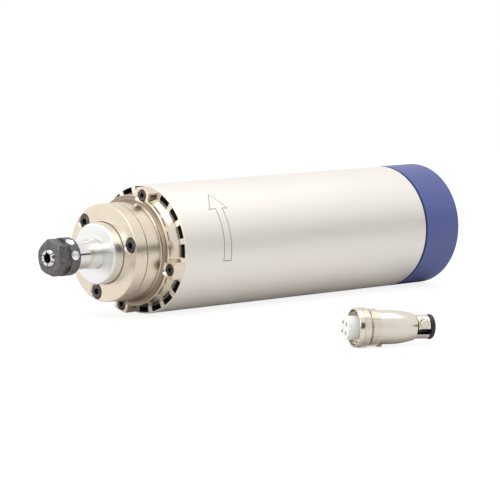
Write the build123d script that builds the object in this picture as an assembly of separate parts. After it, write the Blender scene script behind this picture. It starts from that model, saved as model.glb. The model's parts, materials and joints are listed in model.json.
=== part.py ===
from build123d import *
from math import cos, pi, radians, sin, tan
import os

os.makedirs("parts", exist_ok=True)

# An air-cooled high-speed motor spindle with a collet nose, and its loose cable plug.
# Millimetres. X runs along the spindle with the nose towards -X, and Z is up. The
# origin is on the axis, in the plane where the body tube starts. The spindle lies on
# its side. Angles go round the axis from the top (+Z) towards -Y.

# Clearances
seat_fit = 0.02        # radial play of a piece in the seat that holds it
running_fit = 0.05     # radial play of threads, cones and balls that turn
free_gap = 0.3         # space between pieces that pass each other
edge = 0.3             # broken edge of a turned piece

# Body tube, an extrusion with air ducts in its wall
tube_d = 65.0
tube_l = 176.2
tube_skin = 0.7        # wall outside the ducts
duct_depth = 2.8
duct_wall = 1.7        # wall inside the ducts
rib_w = 2.9
divisions = 20         # places round the wall for a duct or a screw boss
lug_count = 4
lug_angle = 15.6
lug_screw_inset = 3.45 # from the tube's outside to the lug screws

# Front housing
flange_t = 7.9
flange_d = 56.0
flange_flare = 0.9     # how much the flange widens towards the tube
collar_d = 49.2
collar_l = 10.1
lug_t = 7.1
lug_w = 9.7
lug_corner = 1.8
lug_step = 0.1         # how far a lug stays below the tube's outside
spigot_l = 8.0
race_lip = 2.4         # how far a shoulder reaches in over a bearing's outer race

# Front bearing cap and dust ring
cap_t = 7.9
cap_lip = 1.0          # how far the cap reaches into the bearing bore
cap_web = 1.5
cap_screw_circle = 41.0
cap_screw_count = 3
cap_screw_angle = 75.6
dust_d = 30.74
dust_proud = 6.1
dust_chamfer = 0.9
dust_hub_d = 19.0
labyrinth_depth = 5.4

# Socket head screws: head, shank, key and length under the head
m4_head_d = 7.0
m4_head_l = 4.0
m4_key = 3.0
m4_d = 4.0
cap_screw_l = 12.0
m3_head_d = 5.5
m3_head_l = 3.0
m3_key = 2.5
m3_d = 3.0
lug_screw_l = 10.0
rear_screw_l = 30.0
head_recess = 0.2      # how far a head sits below its face
cap_head_play = 0.2    # radial play round the cap screw heads
head_play = 0.25       # radial play round the other heads
shank_play = 0.2

# Bearings: a pair of 15 x 32 x 9 at the front and one 12 x 28 x 8 at the rear
front_bore_d = 15.0
front_od = 32.0
front_w = 9.0
front_balls = 9
front_ball_d = 4.76
bearing_gap = 2.0
rear_bore_d = 12.0
rear_od = 28.0
rear_w = 8.0
rear_balls = 7
rear_ball_d = 4.76
race_land = 0.72       # how far a race reaches past the ball's near side
cage_t = 1.6

# Shaft
nose_l = 16.3          # bare shaft between dust ring and collet nut
nose_thread_d = 14.0
flat_across = 13.0
flat_l = 8.8
flat_runout = 4.0
shaft_collar_d = 19.0
shaft_collar_l = 5.0
rotor_seat_d = 18.0
rear_seat_step_d = 15.0
fan_seat_d = 10.0
tool_bore_d = 7.2
tool_bore_l = 22.0     # clearance bore behind the collet's cone

# Collet and nut
nut_d = 19.0
nut_l = 13.2
nut_across = 16.2
nut_hex_l = 7.4
nut_hex_angle = 17.0
nut_face_cone = 1.2
nut_lip_t = 1.2
balance_hole_d = 4.6
balance_hole_depth = 0.5
balance_hole_back = 3.7
balance_point_l = 1.2
balance_hole_angles = [33.4, 81.3]
collet_l = 18.0
collet_proud = 1.1
collet_d = 11.5
collet_face_d = 7.6
collet_groove_d = 8.6
collet_groove_w = 1.6
collet_groove_back = 2.5
collet_hole_d = 5.0
collet_mouth = 0.3
collet_half_angle = 8.0
nose_half_angle = 30.0
collet_slits = 6
slit_w = 0.5
slit_turn = -8.0       # from the top
slit_rest = 3.5        # length left uncut by each set of slits

# Stator and rotor
stator_start = 45.0
stator_l = 80.0
stator_bore_d = 30.0
stator_slots = 24
slot_w = 2.3
slot_l = 7.2
slot_tip = 1.0
slot_mouth = 1.0
slot_liner = 0.1
end_turn_l = 13.0
air_gap = 0.4
rotor_bars = 22
rotor_bar_w = 1.5
rotor_bar_l = 4.0
rotor_rim = 0.4
end_ring_t = 4.0
end_ring_wall = 4.2

# Rear bearing bracket
bracket_tab_t = 2.5
bracket_tab_w = 8.0
bracket_web_t = 5.0
bracket_spigot_l = 6.0
bracket_hub_wall = 3.5
bracket_lip_t = 2.7
bracket_hub_l = 14.7
spring_space = 2.0
spring_t = 0.5
fan_sleeve_play = 0.5

# Fan
fan_rim_gap = 1.5      # between the fan's rim and the leads that pass it
fan_gap = 1.5
fan_disc_t = 1.5
fan_l = 7.0
fan_hub_d = 18.0
fan_hub_short = 0.7    # how far the hub stops below the vanes
fan_sleeve_d = 13.8
fan_blades = 11
fan_blade_t = 1.2
fan_blade_curve = 15.0
clip_t = 0.8
clip_wall = 1.7
clip_depth = 0.5
clip_gap_angle = 50.0
shaft_past_clip = 1.1

# Rear cap
rear_cap_l = 26.55
rear_cap_wall = 1.5
rear_cap_plate = 2.5
rear_cap_edge = 0.8
post_d = 8.0
vent_count = 16
vent_w = 2.8
vent_in_d = 27.0
vent_out_d = 50.0

# Power socket in the rear cap
socket_thread_d = 15.9
socket_bore_d = 12.8
socket_flange_d = 18.8
socket_flange_t = 2.0
socket_nut_across = 19.0
socket_nut_t = 3.0
socket_reach = 7.5
socket_relief_w = 0.8
socket_relief_depth = 0.6
socket_lip_bore_d = 10.4
insulator_t = 4.0
insulator_tail = 2.0
pin_count = 4
pin_circle = 5.9
pin_d = 1.6
pin_recess = 1.8
cup_d = 2.2
cup_l = 3.0
cup_hole_depth = 2.0
key_w = 1.4
key_h = 0.7

# Leads from the socket to the windings
lead_d = 1.4
lead_inset = 2.8       # from the tube's bore to the middle of a lead
lead_set_back = 2.4    # from the pins' cups to the lead's outward run
lead_hole_d = 2.0

# Cable plug, along its own X from the front of the coupling ring
plug_x = -16.7
plug_y = -163.1
plug_yaw = -23.38
plug_pitch = 1.96
ring_d = 18.5
ring_l = 6.1
ring_plain_l = 2.3
ring_lip_l = 1.5
ring_thread_play = 0.1
ring_groove = 0.7
knurl_count = 40
knurl_depth = 0.3
insert_d = 11.1
insert_proud = 4.5
insert_flange_d = 13.2
insert_flange_t = 1.5
contact_d = 2.0
contact_hole_d = 1.5
contact_sink = 0.5
contact_angle = 54.0
sleeve_collar_t = 0.9
sleeve_neck_d = 14.0
sleeve_l = 8.0
band_d = 17.4
band_l = 4.1
shell_d = 15.9
shell_straight = 5.8
shell_taper = 12.8
shell_end_d = 12.8
shell_round = 0.9
shell_wall = 1.2
shell_back_t = 2.0
jaw_l = 6.7
jaw_d = 11.2
jaw_gap = 2.6
jaw_gap_below = 3.1    # the jaws part this far below the axis
jaw_bore_d = 6.8
jaw_boss_d = 4.8
jaw_boss_back = 2.7
jaw_boss_height = 2.1
jaw_boss_reach = 5.8
clamp_screw_head_d = 3.8
clamp_screw_head_l = 1.2
clamp_screw_d = 2.0
clamp_screw_l = 1.6
bush_d = 11.7
bush_t = 2.3
bush_round = 0.8
bush_sleeve_l = 8.0
cable_hole_d = 5.0
set_screw_d = 2.0
set_screw_head_d = 3.0
set_screw_head_l = 1.05
set_screw_back = 2.2   # behind the knurled band

# Radii and places that follow from the sizes above
tube_r = tube_d / 2
duct_out_r = tube_r - tube_skin
duct_in_r = duct_out_r - duct_depth
tube_bore_r = duct_in_r - duct_wall
duct_mid_r = (duct_in_r + duct_out_r) / 2
pitch_angle = 360 / divisions
lug_angles = [lug_angle + 360 * k / lug_count for k in range(lug_count)]
rib_angles = [lug_angle + pitch_angle * (k + 0.5) for k in range(divisions)]
lug_screw_r = tube_r - lug_screw_inset
collar_r = collar_d / 2
flange_r = flange_d / 2
spigot_r = tube_bore_r - seat_fit

front_joint = -flange_t - collar_l
cap_face = front_joint - cap_t
front_seat_r = front_od / 2 + seat_fit
front_pitch_r = (front_bore_d + front_od) / 4
front_lip_r = front_od / 2 - race_lip
first_race = front_joint + cap_lip
second_race = first_race + front_w + bearing_gap
front_shoulder = second_race + front_w
race_starts = [first_race, second_race]

dust_r = dust_d / 2
dust_face = cap_face - dust_proud
dust_hub_r = dust_hub_d / 2
labyrinth_end = cap_face + labyrinth_depth
cap_screw_r = cap_screw_circle / 2
cap_head_seat = cap_face + m4_head_l + head_recess
cap_screw_angles = [cap_screw_angle + 360 * k / cap_screw_count for k in range(cap_screw_count)]
lug_head_seat = -lug_t + m3_head_l + head_recess

shaft_r = front_bore_d / 2 - seat_fit
nut_back = dust_face - nose_l
nut_face = nut_back - nut_l
collet_face = nut_face - collet_proud
collet_back = collet_face + collet_l
groove_start = collet_face + collet_groove_back
groove_end = groove_start + collet_groove_w
thread_r = nose_thread_d / 2
nut_lip_start = groove_start + (collet_groove_w - nut_lip_t) / 2
nut_lip_end = nut_lip_start + nut_lip_t
shaft_face = groove_end + free_gap * 2

rear_face_of_tube = tube_l
bracket_face = rear_face_of_tube + bracket_tab_t
bracket_front = bracket_face - bracket_hub_l
rear_lip_face = bracket_face - bracket_lip_t
rear_race_end = rear_lip_face - spring_space
rear_race_start = rear_race_end - rear_w
rear_seat_r = rear_od / 2 + seat_fit
rear_pitch_r = (rear_bore_d + rear_od) / 4
rear_journal_r = rear_bore_d / 2 - seat_fit
bracket_hub_r = rear_seat_r + bracket_hub_wall
fan_sleeve_r = fan_sleeve_d / 2
fan_start = bracket_face + fan_gap
fan_hub_end = fan_start + fan_l - fan_hub_short
fan_seat_r = fan_seat_d / 2 - seat_fit
shaft_end = fan_hub_end + clip_t + shaft_past_clip

stator_end = stator_start + stator_l
stator_bore_r = stator_bore_d / 2
slot_in_r = stator_bore_r + slot_tip
slot_out_r = slot_in_r + slot_l
rotor_r = stator_bore_r - air_gap
rotor_seat_r = rotor_seat_d / 2
bar_out_r = rotor_r - rotor_rim
bar_in_r = bar_out_r - rotor_bar_l

cap_inner_r = tube_r - rear_cap_wall
rear_end = rear_face_of_tube + rear_cap_l
plate_face = rear_end - rear_cap_plate
tab_reach = cap_inner_r - free_gap
rear_head_seat = rear_end - m3_head_l - head_recess

socket_r = socket_thread_d / 2
socket_back = plate_face - socket_flange_t
socket_mouth = rear_end + socket_nut_t + socket_reach
insulator_back = socket_back - insulator_tail
cup_back = insulator_back - cup_l
pin_r = pin_circle / 2
pin_angles = [lug_angle + 360 * (k + 0.5) / pin_count for k in range(pin_count)]
lead_r = tube_bore_r - lead_inset
lead_turn = cup_back - lead_set_back
fan_r = lead_r - lead_d / 2 - fan_rim_gap

ring_r = ring_d / 2
plug_z = -tube_r + ring_r * cos(radians(plug_pitch)) + ring_l * sin(radians(plug_pitch))
plug_place = Pos(plug_x, plug_y, plug_z) * Rot(0, 0, plug_yaw) * Rot(0, plug_pitch, 0)
ring_bore_r = socket_r + ring_thread_play
ring_lip_start = ring_l - ring_lip_l
sleeve_collar_r = ring_bore_r - free_gap
sleeve_neck_r = sleeve_neck_d / 2
sleeve_start = ring_lip_start - free_gap / 2 - sleeve_collar_t
shell_start = ring_l + ring_groove
shell_end = shell_start + band_l + shell_straight + shell_taper + shell_round
shell_r = shell_d / 2
insert_r = insert_d / 2
jaw_end = shell_end + jaw_l
bush_end = jaw_end + bush_t


def turned(*corners):
    """A solid turned about X from its half outline, given as (x, radius) corners."""
    return revolve(Plane.XZ * make_face(Polyline(*corners, close=True)), Axis.X)


def rod(start, length, radius):
    """A round bar about X from x = start."""
    return turned((start, 0), (start, radius), (start + length, radius), (start + length, 0))


def around(piece, radius, angles):
    """Copies of a piece moved out from the axis, one at each angle from the top."""
    return [Rot(angle, 0, 0) * Pos(0, 0, radius) * piece for angle in angles]


def prism(start, length, outline):
    """An outline in the YZ plane pushed along X from x = start."""
    return extrude(Plane.YZ.offset(start) * outline, length)


def hexagon(across):
    return RegularPolygon(across / 2, 6, major_radius=False)


def even(count, first=0.0):
    return [first + 360 * k / count for k in range(count)]


def socket_screw(head_d, head_l, shank_d, length, key):
    """Socket head screw along +X with the underside of its head at x = 0."""
    head_r, shank_r = head_d / 2, shank_d / 2
    body = turned((-head_l, 0), (-head_l, head_r - edge), (edge - head_l, head_r), (0, head_r),
                  (0, shank_r), (length - edge, shank_r), (length, shank_r - edge), (length, 0))
    return body - prism(-head_l, head_l / 2, hexagon(key))


def pan_screw(head_d, head_l, shank_d, length):
    """Slotted pan head screw along +X with the underside of its head at x = 0."""
    head_r = head_d / 2
    body = turned((-head_l, 0), (-head_l, head_r - edge), (edge - head_l, head_r), (0, head_r),
                  (0, shank_d / 2), (length, shank_d / 2), (length, 0))
    return body - Pos(-head_l, 0, 0) * Box(head_l, head_d, head_d / 6)


# Body tube

def body_tube():
    ducts = Circle(duct_out_r) - Circle(duct_in_r)
    rib = Pos(0, duct_mid_r) * Rectangle(rib_w, duct_depth * 2)
    boss = Pos(0, duct_mid_r) * Rectangle(2 * duct_out_r * sin(radians(pitch_angle / 2)), duct_depth * 2)
    ducts -= [Rot(0, 0, angle) * rib for angle in rib_angles]
    ducts -= [Rot(0, 0, angle) * boss for angle in lug_angles]
    tube = prism(0, tube_l, Circle(tube_r) - Circle(tube_bore_r) - ducts)
    tap_r = m3_d / 2 + seat_fit
    front_tap = lug_head_seat + lug_screw_l + edge
    rear_tap = tube_l - (rear_head_seat - rear_screw_l - edge)
    tube -= around(rod(0, front_tap, tap_r), lug_screw_r, lug_angles)
    return tube - around(rod(tube_l - rear_tap, rear_tap, tap_r), lug_screw_r, lug_angles)


# Front housing with its four lugs, the bearing cap and the screws

def lug_outline():
    height = tube_r - front_seat_r
    slab = Pos(0, tube_r - height / 2) * RectangleRounded(lug_w, height, lug_corner)
    return slab & Circle(tube_r - lug_step)


def front_housing():
    body = turned((front_joint, front_seat_r), (front_joint, collar_r - edge),
                  (front_joint + edge, collar_r), (-flange_t, collar_r), (-flange_t, flange_r - edge),
                  (edge - flange_t, flange_r), (0, flange_r + flange_flare), (0, spigot_r),
                  (spigot_l, spigot_r), (spigot_l, front_lip_r), (front_shoulder, front_lip_r),
                  (front_shoulder, front_seat_r))
    lug = prism(-lug_t, lug_t, lug_outline()) - rod(-lug_t, lug_t, collar_r)
    body += [Rot(angle, 0, 0) * lug for angle in lug_angles]
    head_hole = rod(-flange_t, flange_t + lug_head_seat, m3_head_d / 2 + head_play)
    shank_hole = rod(-flange_t, flange_t + spigot_l, m3_d / 2 + shank_play)
    body -= around(head_hole + shank_hole, lug_screw_r, lug_angles)
    tap_l = cap_head_seat + cap_screw_l + edge - front_joint
    return body - around(rod(front_joint, tap_l, m4_d / 2 + seat_fit), cap_screw_r, cap_screw_angles)


def front_bearing_cap():
    hub_hole_r = dust_hub_r + free_gap
    body = turned((cap_face, dust_r + free_gap), (cap_face, collar_r - edge), (cap_face + edge, collar_r),
                  (front_joint - edge, collar_r), (front_joint, collar_r - edge),
                  (front_joint, front_od / 2), (first_race, front_od / 2), (first_race, front_lip_r),
                  (labyrinth_end + cap_web, front_lip_r), (labyrinth_end + cap_web, hub_hole_r),
                  (labyrinth_end, hub_hole_r), (labyrinth_end, dust_r + free_gap))
    head_hole = rod(cap_face, cap_head_seat - cap_face, m4_head_d / 2 + cap_head_play)
    shank_hole = rod(cap_face, cap_t, m4_d / 2 + shank_play)
    return body - around(head_hole + shank_hole, cap_screw_r, cap_screw_angles)


def dust_ring():
    disc_end = labyrinth_end - free_gap
    bore_r = shaft_r + seat_fit
    return turned((dust_face, bore_r), (dust_face, dust_r - dust_chamfer),
                  (dust_face + dust_chamfer, dust_r), (disc_end, dust_r), (disc_end, dust_hub_r),
                  (first_race, dust_hub_r), (first_race, bore_r))


def cap_screws():
    screw = Pos(cap_head_seat, 0, 0) * socket_screw(m4_head_d, m4_head_l, m4_d, cap_screw_l, m4_key)
    return around(screw, cap_screw_r, cap_screw_angles)


def lug_screws():
    screw = Pos(lug_head_seat, 0, 0) * socket_screw(m3_head_d, m3_head_l, m3_d, lug_screw_l, m3_key)
    return around(screw, lug_screw_r, lug_angles)


# Ball bearings

def ball_track(start, width, pitch_r, ball_d):
    ring = Plane.XZ * Pos(start + width / 2, pitch_r) * Circle(ball_d / 2 + running_fit)
    return revolve(ring, Axis.X)


def inner_race(start, width, bore_d, pitch_r, ball_d):
    land_r = pitch_r - ball_d / 2 + race_land
    end = start + width
    ring = turned((start, bore_d / 2), (start, land_r), (end, land_r), (end, bore_d / 2))
    return ring - ball_track(start, width, pitch_r, ball_d)


def outer_race(start, width, od, pitch_r, ball_d):
    land_r = pitch_r + ball_d / 2 - race_land
    end = start + width
    ring = turned((start, land_r), (start, od / 2), (end, od / 2), (end, land_r))
    return ring - ball_track(start, width, pitch_r, ball_d)


def ball_ring(start, width, pitch_r, ball_d, count):
    ball = Pos(start + width / 2, 0, 0) * Rot(0, 90, 0) * Sphere(ball_d / 2)
    return around(ball, pitch_r, even(count))


def ball_cage(start, width, pitch_r, ball_d, count):
    half = ball_d / 2 + cage_t / 2
    middle = start + width / 2
    low, high = pitch_r - cage_t / 2, pitch_r + cage_t / 2
    ring = turned((middle - half, low), (middle - half, high), (middle + half, high), (middle + half, low))
    room = ball_d + 2 * running_fit
    pocket = Pos(middle, 0, 0) * Box(room, room, ball_d)
    return ring - around(pocket, pitch_r, even(count))


def bearing_spacer(in_r, out_r):
    start, end = first_race + front_w, second_race
    return turned((start, in_r), (start, out_r), (end, out_r), (end, in_r))


# Shaft, collet and collet nut

def collet_r_at(x):
    """Radius of the collet's long cone at x."""
    return collet_d / 2 - (x - groove_end) * tan(radians(collet_half_angle))


def spindle_shaft():
    relief_r = thread_r - 0.7
    shank_start = nut_back + free_gap
    flat_end = shank_start + flat_l
    cone_end = collet_back + 1.0
    bore_r = tool_bore_d / 2
    cone_play = running_fit
    collar_end = front_shoulder + shaft_collar_l
    journal_end = rear_race_end
    body = turned(
        (shaft_face, collet_r_at(shaft_face) + cone_play), (shaft_face, thread_r - edge * 2),
        (shaft_face + edge * 2, thread_r), (nut_back - 1.5, thread_r), (nut_back - 1.5, relief_r),
        (shank_start, relief_r), (shank_start, shaft_r - edge), (shank_start + edge, shaft_r),
        (front_shoulder, shaft_r), (front_shoulder, shaft_collar_d / 2), (collar_end, shaft_collar_d / 2),
        (collar_end, rotor_seat_r), (stator_end + end_ring_t, rotor_seat_r),
        (stator_end + end_ring_t, rear_seat_step_d / 2), (rear_race_start, rear_seat_step_d / 2),
        (rear_race_start, rear_journal_r), (journal_end, rear_journal_r), (journal_end, fan_seat_r),
        (fan_hub_end, fan_seat_r), (fan_hub_end, fan_seat_r - clip_depth),
        (fan_hub_end + clip_t, fan_seat_r - clip_depth), (fan_hub_end + clip_t, fan_seat_r),
        (shaft_end - edge, fan_seat_r), (shaft_end, fan_seat_r - edge), (shaft_end, 0),
        (cone_end + tool_bore_l, 0), (cone_end + tool_bore_l, bore_r), (cone_end, bore_r),
        (cone_end, collet_r_at(cone_end) + cone_play))
    # The wrench flats are milled from the front and run out on the cutter's radius.
    rise = shaft_r - flat_across / 2
    cutter_r = (flat_runout ** 2 + rise ** 2) / (2 * rise)
    slab = Pos(flat_end - flat_l, 0, flat_across / 2) * Box(flat_l, 2 * shaft_r, 2 * shaft_r, align=(
        Align.MIN, Align.CENTER, Align.MIN))
    runout = Pos(flat_end, 0, flat_across / 2 + cutter_r) * Rot(90, 0, 0) * Cylinder(cutter_r, 2 * shaft_r)
    cutter = slab + runout
    return body - cutter - Rot(180, 0, 0) * cutter


def collet():
    nose_r = collet_face_d / 2
    full_r = collet_d / 2
    hole_r = collet_hole_d / 2
    nose_end = collet_face + (groove_start - collet_face) * 0.8
    body = turned(
        (collet_face, hole_r + collet_mouth), (collet_face, nose_r),
        (nose_end, nose_r + (nose_end - collet_face) * tan(radians(nose_half_angle))),
        (groove_start, nose_r + (nose_end - collet_face) * tan(radians(nose_half_angle))),
        (groove_start, collet_groove_d / 2), (groove_end, collet_groove_d / 2), (groove_end, full_r),
        (collet_back, collet_r_at(collet_back)), (collet_back, hole_r),
        (collet_face + collet_mouth, hole_r))
    slit = Pos(0, 0, full_r / 2) * Box(collet_l - slit_rest, slit_w, full_r + edge)
    front_slit = Pos(collet_face + (collet_l - slit_rest) / 2, 0, 0) * slit
    back_slit = Pos(collet_back - (collet_l - slit_rest) / 2, 0, 0) * slit
    body -= [Rot(angle, 0, 0) * front_slit for angle in even(collet_slits, slit_turn)]
    back_turn = slit_turn + 180 / collet_slits
    return body - [Rot(angle, 0, 0) * back_slit for angle in even(collet_slits, back_turn)]


def collet_nut():
    cone_rise = tan(radians(nose_half_angle))
    nose_gap = running_fit / cos(radians(nose_half_angle))
    mouth_r = collet_face_d / 2 + (nut_face - collet_face) * cone_rise + nose_gap
    lip_r = collet_groove_d / 2 + seat_fit * 5
    nose_end = collet_face + (groove_start - collet_face) * 0.8
    inner_r = mouth_r + (nose_end - nut_face) * cone_rise
    bore_r = thread_r + running_fit
    out_r = nut_d / 2
    body = turned(
        (nut_face, mouth_r), (nut_face, out_r - nut_face_cone * 1.5), (nut_face + nut_face_cone, out_r),
        (nut_back - edge * 2, out_r), (nut_back, out_r - edge * 2), (nut_back, bore_r),
        (nut_lip_end, bore_r), (nut_lip_end, lip_r), (nut_lip_start, lip_r), (nut_lip_start, inner_r),
        (nose_end, inner_r))
    hexed = prism(nut_face, nut_hex_l, Rot(0, 0, nut_hex_angle) * hexagon(nut_across))
    body &= hexed + rod(nut_face + nut_hex_l, nut_l - nut_hex_l, out_r)
    # Balance spots are drilled in with the point of the drill only just below the surface.
    hole_r = balance_hole_d / 2
    drill = Pos(0, 0, out_r) * Cylinder(hole_r, balance_hole_depth * 2)
    drill += Pos(0, 0, out_r - balance_hole_depth - balance_point_l / 2) * Cone(0, hole_r, balance_point_l)
    return body - [Rot(angle, 0, 0) * Pos(nut_back - balance_hole_back, 0, 0) * drill
                   for angle in balance_hole_angles]


# Stator and rotor

def slot_outline(play):
    """One winding slot at the top, drawn with a play on each side."""
    return Pos(0, (slot_in_r + slot_out_r) / 2) * Rectangle(slot_w - 2 * play, slot_l - 2 * play)


def stator_core():
    outline = Circle(spigot_r) - Circle(stator_bore_r)
    mouth = Pos(0, slot_in_r) * Rectangle(slot_mouth, slot_tip * 3)
    opening = slot_outline(0) + mouth
    outline -= [Rot(0, 0, angle) * opening for angle in even(stator_slots)]
    return prism(stator_start, stator_l, outline)


def stator_windings():
    low, high = slot_in_r + slot_liner, slot_out_r - slot_liner
    bulge = 1.5
    pieces = turned((stator_end, low), (stator_end, high), (stator_end + end_turn_l - bulge, high),
                    (stator_end + end_turn_l, high - bulge), (stator_end + end_turn_l, low + bulge),
                    (stator_end + end_turn_l - bulge, low))
    pieces += turned((stator_start, low), (stator_start, high), (stator_start - end_turn_l + bulge, high),
                     (stator_start - end_turn_l, high - bulge), (stator_start - end_turn_l, low + bulge),
                     (stator_start - end_turn_l + bulge, low))
    bars = [Rot(0, 0, angle) * slot_outline(slot_liner) for angle in even(stator_slots)]
    return pieces + prism(stator_start, stator_l, Sketch() + bars)


def bar_outlines():
    bar = Pos(0, (bar_in_r + bar_out_r) / 2) * Rectangle(rotor_bar_w, rotor_bar_l)
    return Sketch() + [Rot(0, 0, angle) * bar for angle in even(rotor_bars)]


def rotor_core():
    outline = Circle(rotor_r) - Circle(rotor_seat_r + seat_fit) - bar_outlines()
    return prism(stator_start, stator_l, outline)


def rotor_cage():
    low, high = bar_out_r - end_ring_wall, bar_out_r
    cage = prism(stator_start, stator_l, bar_outlines())
    for start in (stator_start - end_ring_t, stator_end):
        end = start + end_ring_t
        cage += turned((start, low), (start, high), (end, high), (end, low))
    return cage


# Rear bearing bracket and fan

def rear_bracket():
    web_start = tube_l - bracket_web_t
    lip_r = fan_sleeve_r + fan_sleeve_play
    body = turned((bracket_front, rear_seat_r), (bracket_front, bracket_hub_r), (web_start, bracket_hub_r),
                  (web_start, spigot_r - bracket_hub_wall),
                  (tube_l - bracket_spigot_l, spigot_r - bracket_hub_wall),
                  (tube_l - bracket_spigot_l, spigot_r), (tube_l, spigot_r), (tube_l, bracket_hub_r),
                  (bracket_face, bracket_hub_r), (bracket_face, lip_r), (rear_lip_face, lip_r),
                  (rear_lip_face, rear_seat_r))
    tab_l = tab_reach - bracket_hub_r + 1
    tab = (Pos(0, tab_reach - tab_l / 2) * Rectangle(bracket_tab_w, tab_l)) & Circle(tab_reach)
    tabs = [Rot(0, 0, angle) * tab for angle in lug_angles]
    body += prism(tube_l, bracket_tab_t, Sketch() + tabs)
    screw_hole = rod(tube_l - bracket_spigot_l, bracket_spigot_l + bracket_tab_t, m3_d / 2 + shank_play)
    body -= around(screw_hole, lug_screw_r, lug_angles)
    lead_hole = rod(tube_l - bracket_spigot_l, bracket_spigot_l + bracket_tab_t, lead_hole_d / 2)
    return body - around(lead_hole, lead_r, pin_angles)


def wave_spring():
    """Preload spring: a wavy washer between the rear bearing and the bracket's lip."""
    high, low = rear_od / 2 - free_gap, rear_od / 2 - race_lip
    flat = turned((rear_race_end, low), (rear_race_end, high), (rear_lip_face, high), (rear_lip_face, low))
    wave_r = (high + low) / 2
    waves = 3
    depth = rear_lip_face - rear_race_end - spring_t
    for angle in even(waves * 2):
        turned_over = (angle / (360 / (waves * 2))) % 2
        face = rear_race_end + spring_t / 2 if turned_over else rear_lip_face - spring_t / 2
        notch = Pos(face, 0, wave_r) * Box(depth, wave_r * 0.7, high)
        flat -= Rot(angle, 0, 0) * notch
    return flat


def fan():
    bore_r = fan_seat_r + seat_fit
    hub_r = fan_hub_d / 2
    body = turned((rear_race_end, bore_r), (rear_race_end, fan_sleeve_r), (fan_start, fan_sleeve_r),
                  (fan_start, fan_r), (fan_start + fan_disc_t, fan_r), (fan_start + fan_disc_t, hub_r),
                  (fan_hub_end, hub_r), (fan_hub_end, bore_r))
    sweep_r = fan_blade_curve
    arc = Pos(0, sweep_r) * (Circle(sweep_r + fan_blade_t / 2) - Circle(sweep_r - fan_blade_t / 2))
    half = Pos(fan_r, fan_r) * Rectangle(2 * fan_r, 4 * fan_r)
    blade = (arc & half & Circle(fan_r)) - Circle(hub_r - edge)
    blades = [Rot(0, 0, angle) * blade for angle in even(fan_blades)]
    return body + prism(fan_start, fan_l, Sketch() + blades)


def fan_clip():
    low = fan_seat_r - clip_depth + seat_fit
    ring = Circle(low + clip_wall) - Circle(low)
    gap = Pos(0, low) * Rectangle(2 * low * sin(radians(clip_gap_angle / 2)), 2 * low)
    return prism(fan_hub_end, clip_t, ring - gap)


# Rear cap, its screws and the power socket

def rear_cap():
    body = turned((tube_l, cap_inner_r), (tube_l, tube_r), (rear_end - rear_cap_edge, tube_r),
                  (rear_end, tube_r - rear_cap_edge), (rear_end, socket_r + seat_fit * 5),
                  (plate_face, socket_r + seat_fit * 5), (plate_face, cap_inner_r))
    post = Pos(0, lug_screw_r) * Circle(post_d / 2)
    posts = Sketch() + [Rot(0, 0, angle) * post for angle in lug_angles]
    body += prism(bracket_face, plate_face - bracket_face, posts & Circle(tube_r - edge))
    vent_l = (vent_out_d - vent_in_d) / 2
    vent = Pos(0, (vent_in_d + vent_out_d) / 4) * Rot(0, 0, 90) * SlotOverall(vent_l, vent_w)
    vents = [Rot(0, 0, angle) * vent for angle in even(vent_count, lug_angle)]
    body -= prism(plate_face, rear_cap_plate, Sketch() + vents)
    head_hole = rod(rear_head_seat, rear_end - rear_head_seat, m3_head_d / 2 + head_play)
    shank_hole = rod(bracket_face, rear_end - bracket_face, m3_d / 2 + shank_play)
    return body - around(head_hole + shank_hole, lug_screw_r, lug_angles)


def rear_screws():
    screw = Rot(0, 180, 0) * socket_screw(m3_head_d, m3_head_l, m3_d, rear_screw_l, m3_key)
    return around(Pos(rear_head_seat, 0, 0) * screw, lug_screw_r, lug_angles)


def socket_shell():
    bore_r, lip_r = socket_bore_d / 2, socket_lip_bore_d / 2
    relief_start = rear_end + socket_nut_t
    relief_end, relief_r = relief_start + socket_relief_w, socket_r - socket_relief_depth
    body = turned((socket_back, lip_r), (socket_back, socket_flange_d / 2), (plate_face, socket_flange_d / 2),
                  (plate_face, socket_r), (relief_start, socket_r), (relief_start, relief_r),
                  (relief_end, relief_r), (relief_end, socket_r), (socket_mouth - edge, socket_r),
                  (socket_mouth, socket_r - edge), (socket_mouth, bore_r), (plate_face, bore_r),
                  (plate_face, lip_r))
    key = Pos(plate_face + insulator_t, 0, bore_r - key_h / 2 + edge / 2) * Box(
        socket_mouth - plate_face - insulator_t - edge, key_w, key_h + edge, align=(
            Align.MIN, Align.CENTER, Align.CENTER))
    return body + key


def socket_insulator():
    face = plate_face + insulator_t
    disc_r, tail_r = socket_bore_d / 2 - seat_fit, socket_lip_bore_d / 2 - seat_fit
    body = turned((insulator_back, 0), (insulator_back, tail_r), (plate_face, tail_r), (plate_face, disc_r),
                  (face, disc_r), (face, 0))
    hole = rod(insulator_back, face - insulator_back, pin_d / 2 + seat_fit)
    return body - around(hole, pin_r, pin_angles)


def socket_pins():
    tip = socket_mouth - pin_recess
    pin = turned((cup_back, 0), (cup_back, cup_d / 2), (insulator_back, cup_d / 2),
                 (insulator_back, pin_d / 2), (tip - pin_d / 2, pin_d / 2), (tip, pin_d / 4), (tip, 0))
    pin -= rod(cup_back, cup_hole_depth, lead_d / 2 + seat_fit)
    return around(pin, pin_r, pin_angles)


def socket_nut():
    outline = hexagon(socket_nut_across) - Circle(socket_r + running_fit)
    body = prism(rear_end, socket_nut_t, outline)
    corner_r = socket_nut_across / 2 / cos(radians(30))
    face = rear_end + socket_nut_t
    return body & turned((rear_end, 0), (rear_end, corner_r + edge), (face - edge, corner_r),
                         (face, corner_r - edge * 2), (face, 0))


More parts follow.
